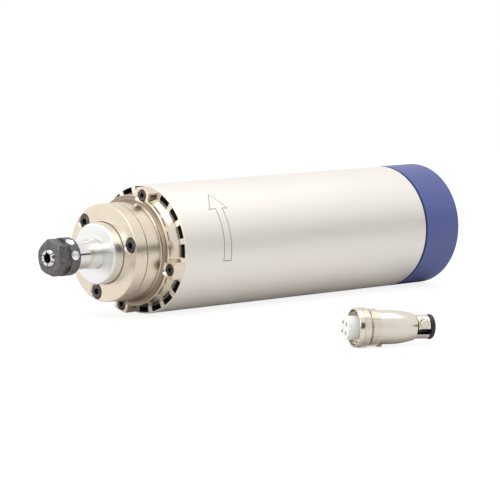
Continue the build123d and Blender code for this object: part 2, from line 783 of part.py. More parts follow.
def power_leads():
    """One lead from each pin's cup, out past the fan and forward to the windings."""
    route = Polyline((cup_back + cup_hole_depth, pin_r), (lead_turn, pin_r), (lead_turn, lead_r),
                     (stator_end + end_turn_l, lead_r))
    path = Plane.XZ * route
    wire = Plane(path @ 0, z_dir=path % 0) * Circle(lead_d / 2)
    lead = sweep(wire, path, transition=Transition.RIGHT)
    return [Rot(angle, 0, 0) * lead for angle in pin_angles]


# Cable plug, built along its own X and laid in its place at the end

def plug_ring():
    bore = ring_bore_r
    lip = sleeve_neck_r + free_gap / 2
    body = turned((0, bore + edge), (0, ring_r - edge * 2), (edge * 2, ring_r), (ring_plain_l, ring_r),
                  (ring_plain_l + edge, ring_r - knurl_depth), (ring_l - edge, ring_r - knurl_depth),
                  (ring_l, ring_r - knurl_depth - edge), (ring_l, lip), (ring_lip_start, lip),
                  (ring_lip_start, bore), (edge, bore))
    return body + knurl(ring_plain_l + edge, ring_l - edge, ring_r)


def knurl(start, end, top_r):
    """Straight ridges round a grip, standing on a face that lies one knurl depth lower."""
    width = pi * top_r / knurl_count
    ridge = Pos(0, top_r - knurl_depth) * Rectangle(width, knurl_depth * 2)
    ridges = Sketch() + [Rot(0, 0, angle) * ridge for angle in even(knurl_count)]
    return prism(start, end - start, (ridges & Circle(top_r)) - Circle(top_r - knurl_depth * 1.5))


def plug_insert():
    sleeve_end = sleeve_start + sleeve_l
    end = sleeve_end + insert_flange_t
    body = turned((-insert_proud, 0), (-insert_proud, insert_r - edge), (edge - insert_proud, insert_r),
                  (sleeve_end, insert_r), (sleeve_end, insert_flange_d / 2),
                  (end, insert_flange_d / 2), (end, 0))
    hole = rod(-insert_proud, end + insert_proud, contact_d / 2 + seat_fit)
    return body - around(hole, pin_r, even(pin_count, contact_angle))


def plug_contacts():
    start = contact_sink - insert_proud
    end = sleeve_start + sleeve_l + insert_flange_t + cup_l
    body = turned((start, contact_hole_d / 2), (start, contact_d / 2), (end, contact_d / 2), (end, 0),
                  (end - cup_l * 2, 0), (end - cup_l * 2, contact_hole_d / 2))
    return around(body, pin_r, even(pin_count, contact_angle))


def plug_sleeve():
    bore_r = insert_r + seat_fit
    collar_end = sleeve_start + sleeve_collar_t
    end = sleeve_start + sleeve_l
    return turned((sleeve_start, bore_r), (sleeve_start, sleeve_collar_r), (collar_end, sleeve_collar_r),
                  (collar_end, sleeve_neck_r), (end, sleeve_neck_r), (end, bore_r))


def plug_shell():
    band_end = shell_start + band_l
    straight_end = band_end + shell_straight
    taper_end = straight_end + shell_taper
    end_r = shell_end_d / 2
    knurl_root_r = band_d / 2 - knurl_depth
    sleeve_end = sleeve_start + sleeve_l + insert_flange_t + free_gap
    cable_r = jaw_bore_d / 2
    with BuildPart() as shell:
        with BuildSketch(Plane.XZ):
            with BuildLine():
                front = Polyline((shell_start, sleeve_neck_r + seat_fit), (shell_start, knurl_root_r),
                                 (band_end, knurl_root_r), (band_end, shell_r), (straight_end, shell_r))
                curve = TangentArc(front @ 1, (taper_end, end_r), tangent=(1, 0))
                Polyline(curve @ 1, (shell_end, end_r - shell_round), (shell_end, cable_r),
                         (shell_end - shell_back_t, cable_r), (taper_end - shell_back_t, end_r - shell_wall),
                         (straight_end, shell_r - shell_wall), (sleeve_end, shell_r - shell_wall),
                         (sleeve_end, sleeve_neck_r + seat_fit), front @ 0)
            make_face()
        revolve(axis=Axis.X)
    body = shell.part + knurl(shell_start, band_end, band_d / 2)
    drill = Pos(band_end + set_screw_back, 0, -shell_r) * Cylinder(set_screw_d / 2 + seat_fit, shell_wall * 3)
    lower = prism(shell_end, jaw_l, Circle(jaw_d / 2) - Circle(cable_r))
    depth = jaw_d
    keep = Pos(shell_end, 0, -jaw_gap_below - depth / 2) * Box(jaw_l, jaw_d * 2, depth, align=(
        Align.MIN, Align.CENTER, Align.CENTER))
    return body - drill + (lower & keep)


def plug_jaw():
    """Upper saddle of the cable clamp, with a round boss for the screw on each side."""
    low = -jaw_gap_below + jaw_gap
    arch = prism(shell_end + free_gap, jaw_l - free_gap * 2, Circle(jaw_d / 2) - Circle(jaw_bore_d / 2))
    keep = Pos(shell_end, 0, low) * Box(jaw_l, jaw_d * 2, jaw_d, align=(Align.MIN, Align.CENTER, Align.MIN))
    jaw = arch & keep
    boss = Pos(shell_end + jaw_boss_back, 0, jaw_boss_height) * Rot(90, 0, 0) * Cylinder(
        jaw_boss_d / 2, 2 * jaw_boss_reach)
    jaw += boss - rod(shell_end, jaw_l, jaw_bore_d / 2)
    hole = Pos(shell_end + jaw_boss_back, 0, jaw_boss_height) * Rot(90, 0, 0) * Cylinder(
        clamp_screw_d / 2 + seat_fit, 2 * jaw_d)
    return jaw - hole


def plug_clamp_screws():
    screw = pan_screw(clamp_screw_head_d, clamp_screw_head_l, clamp_screw_d, clamp_screw_l)
    near = Pos(shell_end + jaw_boss_back, -jaw_boss_reach, jaw_boss_height) * Rot(0, 0, 90) * screw
    far = Pos(shell_end + jaw_boss_back, jaw_boss_reach, jaw_boss_height) * Rot(0, 0, -90) * screw
    return [near, far]


def plug_bush():
    bush_r, hole_r = bush_d / 2, cable_hole_d / 2
    sleeve_r = jaw_bore_d / 2 - seat_fit * 5
    sleeve_start = jaw_end - bush_sleeve_l
    return turned((jaw_end, sleeve_r), (jaw_end, bush_r - bush_round), (jaw_end + bush_round, bush_r),
                  (bush_end - bush_round, bush_r), (bush_end, bush_r - bush_round), (bush_end, hole_r),
                  (sleeve_start, hole_r), (sleeve_start, sleeve_r))


def plug_set_screw():
    x = shell_start + band_l + set_screw_back
    screw = pan_screw(set_screw_head_d, set_screw_head_l, set_screw_d, shell_r - sleeve_neck_r)
    return Pos(x, 0, -shell_r) * Rot(0, -90, 0) * screw


def save(name, pieces):
    """Write one node; identical pieces stay separate solids of that node."""
    solids = pieces if isinstance(pieces, list) else [pieces]
    node = solids[0] if len(solids) == 1 else Compound(children=solids)
    export_step(node, f"parts/{name}.step")


save("body_tube", body_tube())
save("front_housing", front_housing())
save("front_bearing_cap", front_bearing_cap())
save("cap_screws", cap_screws())
save("lug_screws", lug_screws())
save("front_outer_races", [outer_race(start, front_w, front_od, front_pitch_r, front_ball_d)
                           for start in race_starts])
save("outer_spacer", bearing_spacer(front_lip_r, front_od / 2))
save("front_inner_races", [inner_race(start, front_w, front_bore_d, front_pitch_r, front_ball_d)
                           for start in race_starts])
save("inner_spacer", bearing_spacer(front_bore_d / 2, shaft_collar_d / 2))
save("front_balls", [ball for start in race_starts
                     for ball in ball_ring(start, front_w, front_pitch_r, front_ball_d, front_balls)])
save("front_cages", [ball_cage(start, front_w, front_pitch_r, front_ball_d, front_balls)
                     for start in race_starts])
save("rear_outer_race", outer_race(rear_race_start, rear_w, rear_od, rear_pitch_r, rear_ball_d))
save("rear_inner_race", inner_race(rear_race_start, rear_w, rear_bore_d, rear_pitch_r, rear_ball_d))
save("rear_balls", ball_ring(rear_race_start, rear_w, rear_pitch_r, rear_ball_d, rear_balls))
save("rear_cage", ball_cage(rear_race_start, rear_w, rear_pitch_r, rear_ball_d, rear_balls))
save("dust_ring", dust_ring())
save("spindle_shaft", spindle_shaft())
save("collet", collet())
save("collet_nut", collet_nut())
save("stator_core", stator_core())
save("stator_windings", stator_windings())
save("rotor_core", rotor_core())
save("rotor_cage", rotor_cage())
save("rear_bracket", rear_bracket())
save("wave_spring", wave_spring())
save("fan", fan())
save("fan_clip", fan_clip())
save("rear_cap", rear_cap())
save("rear_screws", rear_screws())
save("socket_shell", socket_shell())
save("socket_insulator", socket_insulator())
save("socket_pins", socket_pins())
save("socket_nut", socket_nut())
save("power_leads", power_leads())

plug = {"plug_ring": plug_ring(), "plug_insert": plug_insert(), "plug_contacts": plug_contacts(),
        "plug_sleeve": plug_sleeve(), "plug_shell": plug_shell(), "plug_jaw": plug_jaw(),
        "plug_clamp_screws": plug_clamp_screws(), "plug_bush": plug_bush(),
        "plug_set_screw": plug_set_screw()}
for name, pieces in plug.items():
    solids = pieces if isinstance(pieces, list) else [pieces]
    save(name, [plug_place * solid for solid in solids])
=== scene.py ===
# %% [markdown]
# A motor spindle lies on a white table beside its loose cable plug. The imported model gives
# every piece its place, and this notebook gives the pieces their finished shapes and
# surfaces, one short step at a time. Everything is drawn in millimetres along X, which is
# the spindle's axis, and scaled to metres once, when a piece is finished.

# %% Load the frame
import json
import math

import bmesh
import bpy
from mathutils import Matrix, Vector


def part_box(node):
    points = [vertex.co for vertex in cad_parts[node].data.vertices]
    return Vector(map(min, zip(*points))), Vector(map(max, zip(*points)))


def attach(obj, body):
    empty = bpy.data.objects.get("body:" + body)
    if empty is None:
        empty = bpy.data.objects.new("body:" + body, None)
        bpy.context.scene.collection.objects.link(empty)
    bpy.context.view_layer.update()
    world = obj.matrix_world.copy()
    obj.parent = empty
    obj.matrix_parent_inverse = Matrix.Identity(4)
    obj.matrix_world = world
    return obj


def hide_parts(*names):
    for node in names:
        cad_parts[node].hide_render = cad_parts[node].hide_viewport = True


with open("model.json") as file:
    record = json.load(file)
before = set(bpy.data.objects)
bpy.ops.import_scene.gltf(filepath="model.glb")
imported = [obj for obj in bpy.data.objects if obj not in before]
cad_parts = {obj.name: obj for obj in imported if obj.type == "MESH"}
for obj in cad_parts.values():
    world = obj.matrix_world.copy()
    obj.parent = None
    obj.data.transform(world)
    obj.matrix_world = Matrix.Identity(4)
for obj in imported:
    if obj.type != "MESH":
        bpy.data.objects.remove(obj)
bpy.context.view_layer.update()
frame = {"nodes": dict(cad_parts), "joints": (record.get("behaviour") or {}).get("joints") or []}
nodes = frame["nodes"]

# %% [markdown]
# Most pieces of a spindle are turned on a lathe. Blender's spin operator does the same
# job: it carries a half outline round an axis. Corners come in with a rounding radius,
# because no machined edge is perfectly sharp and it is the rounded edge that catches the
# light. The half outline lies in the XZ plane, with z as the radius.

# %% Turn a half outline
MM = 0.001
FULL_TURN = 2 * math.pi


def half_outline(bm, corners):
    """A closed outline from (x, radius, rounding) corners."""
    points = [bm.verts.new((x, 0, radius)) for x, radius, _ in corners]
    for first, second in zip(points, points[1:] + points[:1]):
        bm.edges.new((first, second))
    for point, (_, _, rounding) in zip(points, corners):
        if rounding:
            bmesh.ops.bevel(bm, geom=[point], offset=rounding, offset_type="OFFSET", segments=4,
                            profile=0.5, affect="VERTICES", material=-1)


def turned(corners, steps=160):
    """A solid of revolution about X."""
    bm = bmesh.new()
    half_outline(bm, corners)
    bmesh.ops.spin(bm, geom=bm.verts[:] + bm.edges[:], cent=(0, 0, 0), axis=(1, 0, 0),
                   angle=FULL_TURN, steps=steps, use_merge=True, use_duplicate=False)
    bmesh.ops.remove_doubles(bm, verts=bm.verts, dist=1e-4)
    bmesh.ops.recalc_face_normals(bm, faces=bm.faces)
    return bm


def rod(start, end, radius, steps=48):
    """A plain round bar about X, mostly used as a drill."""
    return turned([(start, 0, 0), (start, radius, 0), (end, radius, 0), (end, 0, 0)], steps)


print("a test bar has", len(rod(0, 10, 2).faces), "faces")

# %% [markdown]
# Holes, flats and lugs break the round shape, and no single mesh operator cuts one solid
# with another. The exact Boolean modifier does, so a small helper puts two meshes into
# throwaway objects, lets the modifier work and reads the result back.

# %% Cut, join and place solids
SHARP_ABOVE = math.radians(35)


def mesh_from(bm, name="scratch"):
    mesh = bpy.data.meshes.new(name)
    bm.to_mesh(mesh)
    bm.free()
    return mesh


def new_object(name, data):
    thing = bpy.data.objects.new(name, data)
    bpy.context.scene.collection.objects.link(thing)
    return thing


def boolean(bm, tool, operation="DIFFERENCE"):
    """The solid cut by, joined to or kept inside a tool. Both inputs are used up."""
    work = new_object("work", mesh_from(bm))
    cutter = new_object("cutter", mesh_from(tool))
    modifier = work.modifiers.new("cut", "BOOLEAN")
    modifier.operation = operation
    modifier.solver = "EXACT"
    modifier.object = cutter
    graph = bpy.context.evaluated_depsgraph_get()
    made = bmesh.new()
    made.from_mesh(work.evaluated_get(graph).to_mesh())
    for piece in (work, cutter):
        mesh = piece.data
        bpy.data.objects.remove(piece)
        bpy.data.meshes.remove(mesh)
    bmesh.ops.remove_doubles(made, verts=made.verts, dist=1e-4)
    bmesh.ops.dissolve_limit(made, angle_limit=math.radians(0.3), verts=made.verts,
                             edges=made.edges, delimit={"MATERIAL"})
    return made


def moved(bm, *steps):
    """The same mesh after some matrices, the last one first."""
    place = Matrix.Identity(4)
    for step in steps:
        place = place @ step
    bmesh.ops.transform(bm, matrix=place, verts=bm.verts)
    return bm


def together(parts):
    """Several meshes as one, without joining their surfaces."""
    whole = bmesh.new()
    for part in parts:
        whole.from_mesh(mesh_from(part))
    return whole


def turn(degrees, axis="X"):
    return Matrix.Rotation(math.radians(degrees), 4, axis)


def shift(x=0, y=0, z=0):
    return Matrix.Translation((x, y, z))


def station(face):
    """How far along the axis a face lies, and how far from it."""
    middle = face.calc_center_median()
    return middle.x, math.hypot(middle.y, middle.z)


def around(make, radius, angles):
    """Copies of a solid pushed out from the axis, one at each angle from the top."""
    return together([moved(make(), turn(angle), shift(z=radius)) for angle in angles])


def block(x_range, width, z_range):
    """A box between two stations and two heights, as wide on both sides of the XZ plane."""
    bm = bmesh.new()
    bmesh.ops.create_cube(bm, size=1)
    size = (x_range[1] - x_range[0], width, z_range[1] - z_range[0])
    bmesh.ops.scale(bm, vec=size, verts=bm.verts)
    return moved(bm, shift(sum(x_range) / 2, 0, sum(z_range) / 2))


def pushed_up(bm, height):
    """A flat outline in the XY plane made into a solid that rises along Z."""
    grown = bmesh.ops.extrude_face_region(bm, geom=bm.faces[:])["geom"]
    risen = [item for item in grown if isinstance(item, bmesh.types.BMVert)]
    bmesh.ops.translate(bm, vec=(0, 0, height), verts=risen)
    bmesh.ops.recalc_face_normals(bm, faces=bm.faces)
    return bm


def soften(bm, width):
    """Rounds every sharp edge, but leaves a second material's faces alone."""
    sharp = [edge for edge in bm.edges if edge.is_manifold and edge.calc_face_angle(0) > SHARP_ABOVE
             and not any(face.material_index for face in edge.link_faces)]
    bmesh.ops.bevel(bm, geom=sharp, offset=width, offset_type="OFFSET", segments=2,
                    profile=0.5, affect="EDGES", clamp_overlap=False, material=-1)
    bmesh.ops.remove_doubles(bm, verts=bm.verts, dist=1e-4)
    return bm


test = soften(boolean(rod(0, 10, 4), rod(-1, 11, 2)), 0.2)
print("a bored and softened bar has", len(test.faces), "faces")
test.free()

# %% [markdown]
# A finished piece is named, set to metres, shaded smooth except at true edges, and told which body it
# moves with. The frame's nodes that it stands for are hidden. Weighted normals keep flat faces flat
# beside their small roundings.

# %% Finish a piece
SMOOTH_BELOW = math.radians(38)


def finished(bm, name, body, materials, stands_for=()):
    bmesh.ops.scale(bm, vec=(MM, MM, MM), verts=bm.verts)
    mesh = mesh_from(bm, name)
    piece = new_object(name, mesh)
    for material in materials:
        mesh.materials.append(material)
    mesh.shade_smooth()
    mesh.set_sharp_from_angle(angle=SMOOTH_BELOW)
    weighted = piece.modifiers.new("flat faces stay flat", "WEIGHTED_NORMAL")
    weighted.keep_sharp = True
    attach(piece, body)
    if stands_for:
        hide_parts(*stands_for)
    print(name, "has", len(mesh.polygons), "faces")


def copied(node, width):
    """A frame piece's own solid in millimetres, with its sharp edges rounded."""
    bm = bmesh.new()
    bm.from_mesh(nodes[node].data)
    bmesh.ops.scale(bm, vec=(1 / MM, 1 / MM, 1 / MM), verts=bm.verts)
    bmesh.ops.remove_doubles(bm, verts=bm.verts, dist=1e-3)
    bmesh.ops.dissolve_limit(bm, angle_limit=math.radians(0.5), verts=bm.verts, edges=bm.edges)
    return soften(bm, width)


def reach(node):
    """Where a node starts and ends along X, and how far it reaches up, in millimetres."""
    low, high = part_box(node)
    return low.x / MM, high.x / MM, high.z / MM


print("the tube runs from", *[round(value, 2) for value in reach("body_tube")])

# %% [markdown]
# Surface finishes are node graphs. One small class wraps an output socket, so that
# maths on it reads like maths: each plus and times adds a Math node. A second class holds
# a node tree and has one method that makes any node, and a third one is a finish.

# %% Write shader maths as Python
class Wire:
    """An output socket that can be added and multiplied."""

    def __init__(self, finish, socket):
        self.finish = finish
        self.socket = socket

    def maths(self, operation, *values):
        inputs = dict(enumerate(values))
        return self.finish.node("ShaderNodeMath", {"operation": operation}, inputs)

    def __add__(self, other):
        return self.maths("ADD", self, other)

    def __mul__(self, other):
        return self.maths("MULTIPLY", self, other)

    def root(self):
        return self.maths("SQRT", self)

    def wave(self):
        return self.maths("SINE", self)


def paint(red, green, blue):
    """A colour as it looks, from 0 to 255, turned into the linear light that shaders use."""
    def linear(level):
        share = level / 255
        return share / 12.92 if share <= 0.04045 else ((share + 0.055) / 1.055) ** 2.4
    return (linear(red), linear(green), linear(blue), 1.0)


class Graph:
    """A node tree, with one method that makes any node."""

    def __init__(self, tree):
        self.tree = tree

    def feed(self, socket, value):
        if isinstance(value, Wire):
            self.tree.links.new(value.socket, socket)
        else:
            socket.default_value = value

    def node(self, kind, settings=None, inputs=None, output=0):
        made = self.tree.nodes.new(kind)
        for key, value in (settings or {}).items():
            setattr(made, key, value)
        for key, value in (inputs or {}).items():
            self.feed(made.inputs[key], value)
        return Wire(self, made.outputs[output])


class Finish(Graph):
    """One material, built round a Principled shader."""

    def __init__(self, name, **constants):
        self.material = bpy.data.materials.new(name)
        self.material.use_nodes = True
        super().__init__(self.material.node_tree)
        self.shader = self.tree.nodes["Principled BSDF"]
        for key, value in constants.items():
            self.set(key.replace("_", " "), value)

    def set(self, socket, value):
        self.feed(self.shader.inputs[socket], value)

    def place(self, centre=(0, 0, 0), angles=(0, 0, 0)):
        """Object coordinates, measured from a centre and along turned axes."""
        spot = self.node("ShaderNodeTexCoord", output=3)
        return self.node("ShaderNodeMapping", {"vector_type": "TEXTURE"},
                         {"Vector": spot, "Location": centre, "Rotation": angles})

    def parts(self, vector):
        split = self.node("ShaderNodeSeparateXYZ", inputs={0: vector}).socket.node
        return [Wire(self, socket) for socket in split.outputs]

    def vector(self, x, y, z):
        return self.node("ShaderNodeCombineXYZ", inputs={0: x, 1: y, 2: z})

    def noise(self, vector, scale, detail=3.0, roughness=0.5):
        return self.node("ShaderNodeTexNoise", {"noise_dimensions": "3D"},
                         {"Vector": vector, "Scale": scale, "Detail": detail, "Roughness": roughness})

    def blend(self, share, first, second):
        """A mix of two colours, each from 0 to 255 as it looks."""
        return self.node("ShaderNodeMix", {"data_type": "RGBA"},
                         {0: share, 6: paint(*first), 7: paint(*second)}, output=2)

    def steps(self, value, low, high, out_low=0.0, out_high=1.0):
        return self.node("ShaderNodeMapRange", {"clamp": True},
                         {0: value, 1: low, 2: high, 3: out_low, 4: out_high})

    def relief(self, height, depth):
        """Small surface relief; depth is in metres."""
        self.set("Normal", self.node("ShaderNodeBump", inputs={"Height": height, "Distance": depth}))


print("a mid grey is", [round(level, 3) for level in paint(128, 128, 128)])

# %% [markdown]
# Turned metal carries fine rings from the tool. Rings are the same all the way round, so
# the pattern reads only two numbers of a point: how far along the axis it lies and how far
# from it. On a face that makes circles, and on a barrel it makes hoops.

# %% Finishes of the metal pieces
def turned_metal(name, light, dark, roughness, ring_depth, ring_scale=2600, centre=(0, 0, 0),
                 angles=(0, 0, 0)):
    """Two tints of one metal, mixed by the rings and a soft cloud. The depth is in metres."""
    spread = 0.04
    finish = Finish(name, Metallic=1.0)
    spot = finish.place(centre, angles)
    x, y, z = finish.parts(spot)
    radius = (y * y + z * z).root()
    rings = finish.noise(finish.vector(x, radius, 0.0), ring_scale, detail=2.0)
    cloud = finish.noise(spot, 60, detail=4.0)
    finish.set("Base Color", finish.blend(rings * 0.6 + cloud * 0.4, dark, light))
    finish.set("Roughness", finish.steps(rings * 0.5 + cloud * 0.5, 0.3, 0.7,
                                         roughness - spread, roughness + spread))
    finish.relief(rings, ring_depth)
    return finish.material


front_metal = turned_metal("front_metal", (239, 227, 209), (230, 216, 196), 0.27, 2e-6, 5200)
# painted shade: the fillet's darker tint stands for the shade in the corner between collar and flange
fillet_shade_metal = turned_metal("front_metal_fillet_painted_shade", (166, 152, 135), (148, 134, 118), 0.4, 4e-6, 5200)
dust_metal = turned_metal("dust_aluminium", (245, 245, 243), (236, 236, 235), 0.36, 3e-6, 4200)
ground_steel = turned_metal("ground_steel", (240, 239, 237), (230, 229, 227), 0.12, 2e-6)
collet_steel = turned_metal("collet_steel", (235, 235, 233), (215, 215, 213), 0.2, 2e-6)
bare_steel = turned_metal("bare_steel", (245, 245, 245), (228, 228, 228), 0.3, 8e-6)


def extruded_metal(name, light, dark, roughness):
    """A drawn surface, with its lines along the tube."""
    finish = Finish(name, Metallic=1.0)
    spot = finish.place()
    x, y, z = finish.parts(spot)
    lines = finish.noise(finish.vector(x * 0.012, y, z), 2200, detail=3.0)
    cloud = finish.noise(finish.vector(x * 0.3, y, z), 55, detail=3.0)
    finish.set("Base Color", finish.blend(lines * 0.5 + cloud * 0.5, dark, light))
    finish.set("Roughness", finish.steps(lines * 0.6 + cloud * 0.4, 0.3, 0.7,
                                         roughness - 0.05, roughness + 0.05))
    finish.relief(lines, 6e-6)
    return finish.material


tube_metal = extruded_metal("tube_aluminium", (248, 244, 238), (240, 235, 228), 0.5)
# painted shade: the duct walls are tinted dark for the shade deep inside the ducts
duct_shade_metal = extruded_metal("duct_aluminium_painted_shade", (120, 118, 112), (96, 94, 89), 0.6)


def blackened(name, light, dark, roughness, patch_scale=220):
    """Black oxide on steel: dark, a little uneven, with a dull sheen."""
    finish = Finish(name, Metallic=0.75)
    spot = finish.place()
    grain = finish.noise(spot, 1400, detail=5.0)
    cloud = finish.steps(finish.noise(spot, patch_scale, detail=6.0, roughness=0.7), 0.35, 0.65)
    finish.set("Base Color", finish.blend(cloud, dark, light))
    finish.set("Roughness", finish.steps(grain, 0.3, 0.7, roughness - 0.08, roughness + 0.08))
    finish.relief(grain, 12e-6)
    return finish.material


nut_black = blackened("nut_black", (128, 124, 123), (80, 77, 78), 0.38, 900)
screw_black = blackened("screw_black", (104, 98, 97), (66, 62, 63), 0.25)

print("metal finishes:", front_metal.name, tube_metal.name, nut_black.name)

# %% [markdown]
# The rear cap is satin violet blue. Its surface has a very fine grain, and the light does
# the rest. Plastics and rubber get the same treatment at their own scale.

# %% Finishes of moulded and soft pieces
def moulded(name, light, dark, roughness, grain_scale, grain_depth):
    finish = Finish(name, Metallic=0.0)
    spot = finish.place()
    grain = finish.noise(spot, grain_scale, detail=3.0)
    cloud = finish.noise(spot, 45, detail=3.0)
    finish.set("Base Color", finish.blend(cloud, dark, light))
    finish.set("Roughness", finish.steps(grain, 0.3, 0.7, roughness - 0.04, roughness + 0.04))
    finish.relief(grain, grain_depth)
    return finish.material


cap_blue = moulded("cap_blue", (88, 99, 158), (79, 91, 150), 0.45, 3000, 4e-6)
insulator_white = moulded("insulator_white", (248, 248, 246), (243, 243, 240), 0.35, 1500, 3e-6)
insulator_black = moulded("insulator_black", (38, 38, 40), (30, 30, 32), 0.4, 1500, 4e-6)
fan_plastic = moulded("fan_plastic", (46, 46, 48), (36, 36, 38), 0.45, 1200, 6e-6)
bush_rubber = moulded("bush_rubber", (34, 33, 34), (24, 23, 24), 0.4, 1800, 10e-6)
cage_resin = moulded("cage_resin", (150, 112, 80), (122, 88, 60), 0.5, 2200, 15e-6)
lead_cover = moulded("lead_cover", (170, 40, 34), (140, 30, 26), 0.5, 2500, 12e-6)

print("soft finishes:", cap_blue.name, insulator_white.name, bush_rubber.name)

# %% [markdown]
# Inside sit pieces that show only through the vents of the rear cap or when the spindle
# is opened: polished bearing steel, stacked sheets, varnished copper and cast aluminium.

# %% Finishes of the inner pieces
bearing_steel = turned_metal("bearing_steel", (228, 228, 230), (214, 214, 216), 0.1, 1e-6)
contact_brass = turned_metal("contact_brass", (232, 206, 140), (212, 184, 118), 0.22, 2e-6)
contact_tin = turned_metal("contact_tin", (214, 213, 210), (198, 197, 194), 0.35, 2e-6)
spring_steel = turned_metal("spring_steel", (150, 148, 146), (128, 126, 126), 0.3, 3e-6)


def stacked_sheets():
    finish = Finish("lamination", Metallic=0.9)
    x, y, z = finish.parts(finish.place())
    sheet_t = 0.0005
    edges = (x * (FULL_TURN / sheet_t)).wave()
    stain = finish.noise(finish.vector(x, y, z), 150, detail=4.0)
    finish.set("Base Color", finish.blend(stain, (120, 122, 126), (150, 151, 154)))
    finish.set("Roughness", finish.steps(stain, 0.3, 0.7, 0.4, 0.55))
    finish.relief(edges, 40e-6)
    return finish.material


def wound_copper():
    finish = Finish("winding", Metallic=0.85, Coat_Weight=0.5, Coat_Roughness=0.15)
    x, y, z = finish.parts(finish.place())
    angle = y.maths("ARCTAN2", y, z)
    radius = (y * y + z * z).root()
    wires = finish.noise(finish.vector(x * 0.5, angle * 0.002, radius), 2400, detail=2.0)
    finish.set("Base Color", finish.blend(wires, (120, 62, 30), (196, 112, 62)))
    finish.set("Roughness", finish.steps(wires, 0.3, 0.7, 0.3, 0.45))
    finish.relief(wires, 0.0002)
    return finish.material


def cast_metal():
    finish = Finish("cast_aluminium", Metallic=1.0)
    spot = finish.place()
    grain = finish.noise(spot, 900, detail=5.0)
    finish.set("Base Color", finish.blend(grain, (188, 189, 191), (206, 207, 208)))
    finish.set("Roughness", finish.steps(grain, 0.3, 0.7, 0.42, 0.58))
    finish.relief(grain, 30e-6)
    return finish.material


lamination = stacked_sheets()
winding = wound_copper()
cast_aluminium = cast_metal()
print("inner finishes:", lamination.name, winding.name, cast_aluminium.name)

# %% [markdown]
# The body tube is an aluminium extrusion. Sixteen air ducts run through its wall, and
# four solid places take the lug screws. The tube is turned first, and each duct is cut by
# a thin curved bar: a rectangle spun through part of a turn.

# %% Sizes of the tube and its ducts
tube_start, tube_end, tube_r = reach("body_tube")
lug_angle = 15.6
divisions = 20
lug_count = 4
lug_angles = [lug_angle + 360 * k / lug_count for k in range(lug_count)]
tube_skin = 0.7
duct_depth = 2.8
duct_wall = 1.7
rib_w = 2.9
duct_out_r = tube_r - tube_skin
duct_in_r = duct_out_r - duct_depth
tube_bore_r = duct_in_r - duct_wall
lug_screw_inset = 3.45
lug_screw_r = tube_r - lug_screw_inset
overrun = 1.0
print("duct radii", round(duct_in_r, 2), round(duct_out_r, 2), "bore", round(tube_bore_r, 2))


# %% Body tube
def duct(middle_angle):
    """A cutter for one duct, curved round the axis."""
    half_rib = math.degrees(math.asin(rib_w / (duct_in_r + duct_out_r)))
    width = 360 / divisions - 2 * half_rib
    bm = bmesh.new()
    half_outline(bm, [(tube_start - overrun, duct_in_r, 0.0), (tube_start - overrun, duct_out_r, 0.0),
                      (tube_end + overrun, duct_out_r, 0.0), (tube_end + overrun, duct_in_r, 0.0)])
    bmesh.ops.contextual_create(bm, geom=bm.verts[:] + bm.edges[:])
    bmesh.ops.spin(bm, geom=bm.verts[:] + bm.edges[:] + bm.faces[:], cent=(0, 0, 0),
                   axis=(1, 0, 0), angle=math.radians(width), steps=8, use_merge=False,
                   use_duplicate=False)
    bmesh.ops.holes_fill(bm, edges=bm.edges, sides=0)
    bmesh.ops.recalc_face_normals(bm, faces=bm.faces)
    return moved(bm, turn(middle_angle - width / 2))


tube = turned([(tube_start, tube_bore_r, 0.2), (tube_start, tube_r, 0.35), (tube_end, tube_r, 0.25),
               (tube_end, tube_bore_r, 0.2)], steps=240)
duct_angles = [lug_angle + 360 * k / divisions for k in range(divisions)
               if k % (divisions // lug_count)]
tube = boolean(tube, together([duct(angle) for angle in duct_angles]))
tube = soften(tube, 0.12)
# the duct walls get the second material, which is painted shade
for face in tube.faces:
    _, radius = station(face)
    if duct_in_r - 0.05 < radius < duct_out_r + 0.05 and abs(face.normal.x) < 0.5:
        face.material_index = 1
finished(tube, "body_tube_shell", "housing", [tube_metal, duct_shade_metal],
         ["body_tube"])

# %% [markdown]
# A long outlined arrow is marked on the tube to show which way the shaft turns. It is
# drawn flat from its seven corners, and an inset leaves only the line. Cuts across it let
# the line bend, and it is then rolled round the tube, a hair above the surface.

# %% Rotation arrow
mark_w = 0.36
mark_lift = 0.02
mark_cuts = 33
mark_cut_step = 1.12
arrow_tip = (28.8, 33.2)
arrow_corners = [arrow_tip, (35.3, 52.0), (31.8, 51.3), (31.6, 100.0), (26.2, 100.0), (26.9, 51.3),
                 (22.3, 51.7)]
per_degree = tube_r * math.radians(1)


def rolled(x, angle):
    around_x = math.radians(angle)
    radius = tube_r + mark_lift
    return (x, -radius * math.sin(around_x), radius * math.cos(around_x))


def flat_arrow():
    """The arrow's line, flat in the XY plane: x along the tube, y along its girth."""
    bm = bmesh.new()
    corners = [bm.verts.new((x, angle * per_degree, 0)) for x, angle in arrow_corners]
    bm.faces.new(corners).normal_update()
    bmesh.ops.inset_region(bm, faces=bm.faces, thickness=mark_w, use_even_offset=True,
                           use_boundary=True)
    inner = [face for face in bm.faces if all(len(v.link_faces) > 2 for v in face.verts)]
    bmesh.ops.delete(bm, geom=inner, context="FACES")
    return bm


arrow = flat_arrow()
for level in range(1, mark_cuts + 1):
    flat_y = arrow_tip[1] * per_degree + level * mark_cut_step
    bmesh.ops.bisect_plane(arrow, geom=arrow.verts[:] + arrow.edges[:] + arrow.faces[:],
                           plane_co=(0, flat_y, 0), plane_no=(0, 1, 0))
for vert in arrow.verts:
    vert.co = rolled(vert.co.x, vert.co.y / per_degree)
bmesh.ops.recalc_face_normals(arrow, faces=arrow.faces)
mark_grey = moulded("mark_grey", (120, 118, 114), (104, 102, 99), 0.55, 1500, 2e-6)
finished(arrow, "rotation_arrow", "housing", [mark_grey])
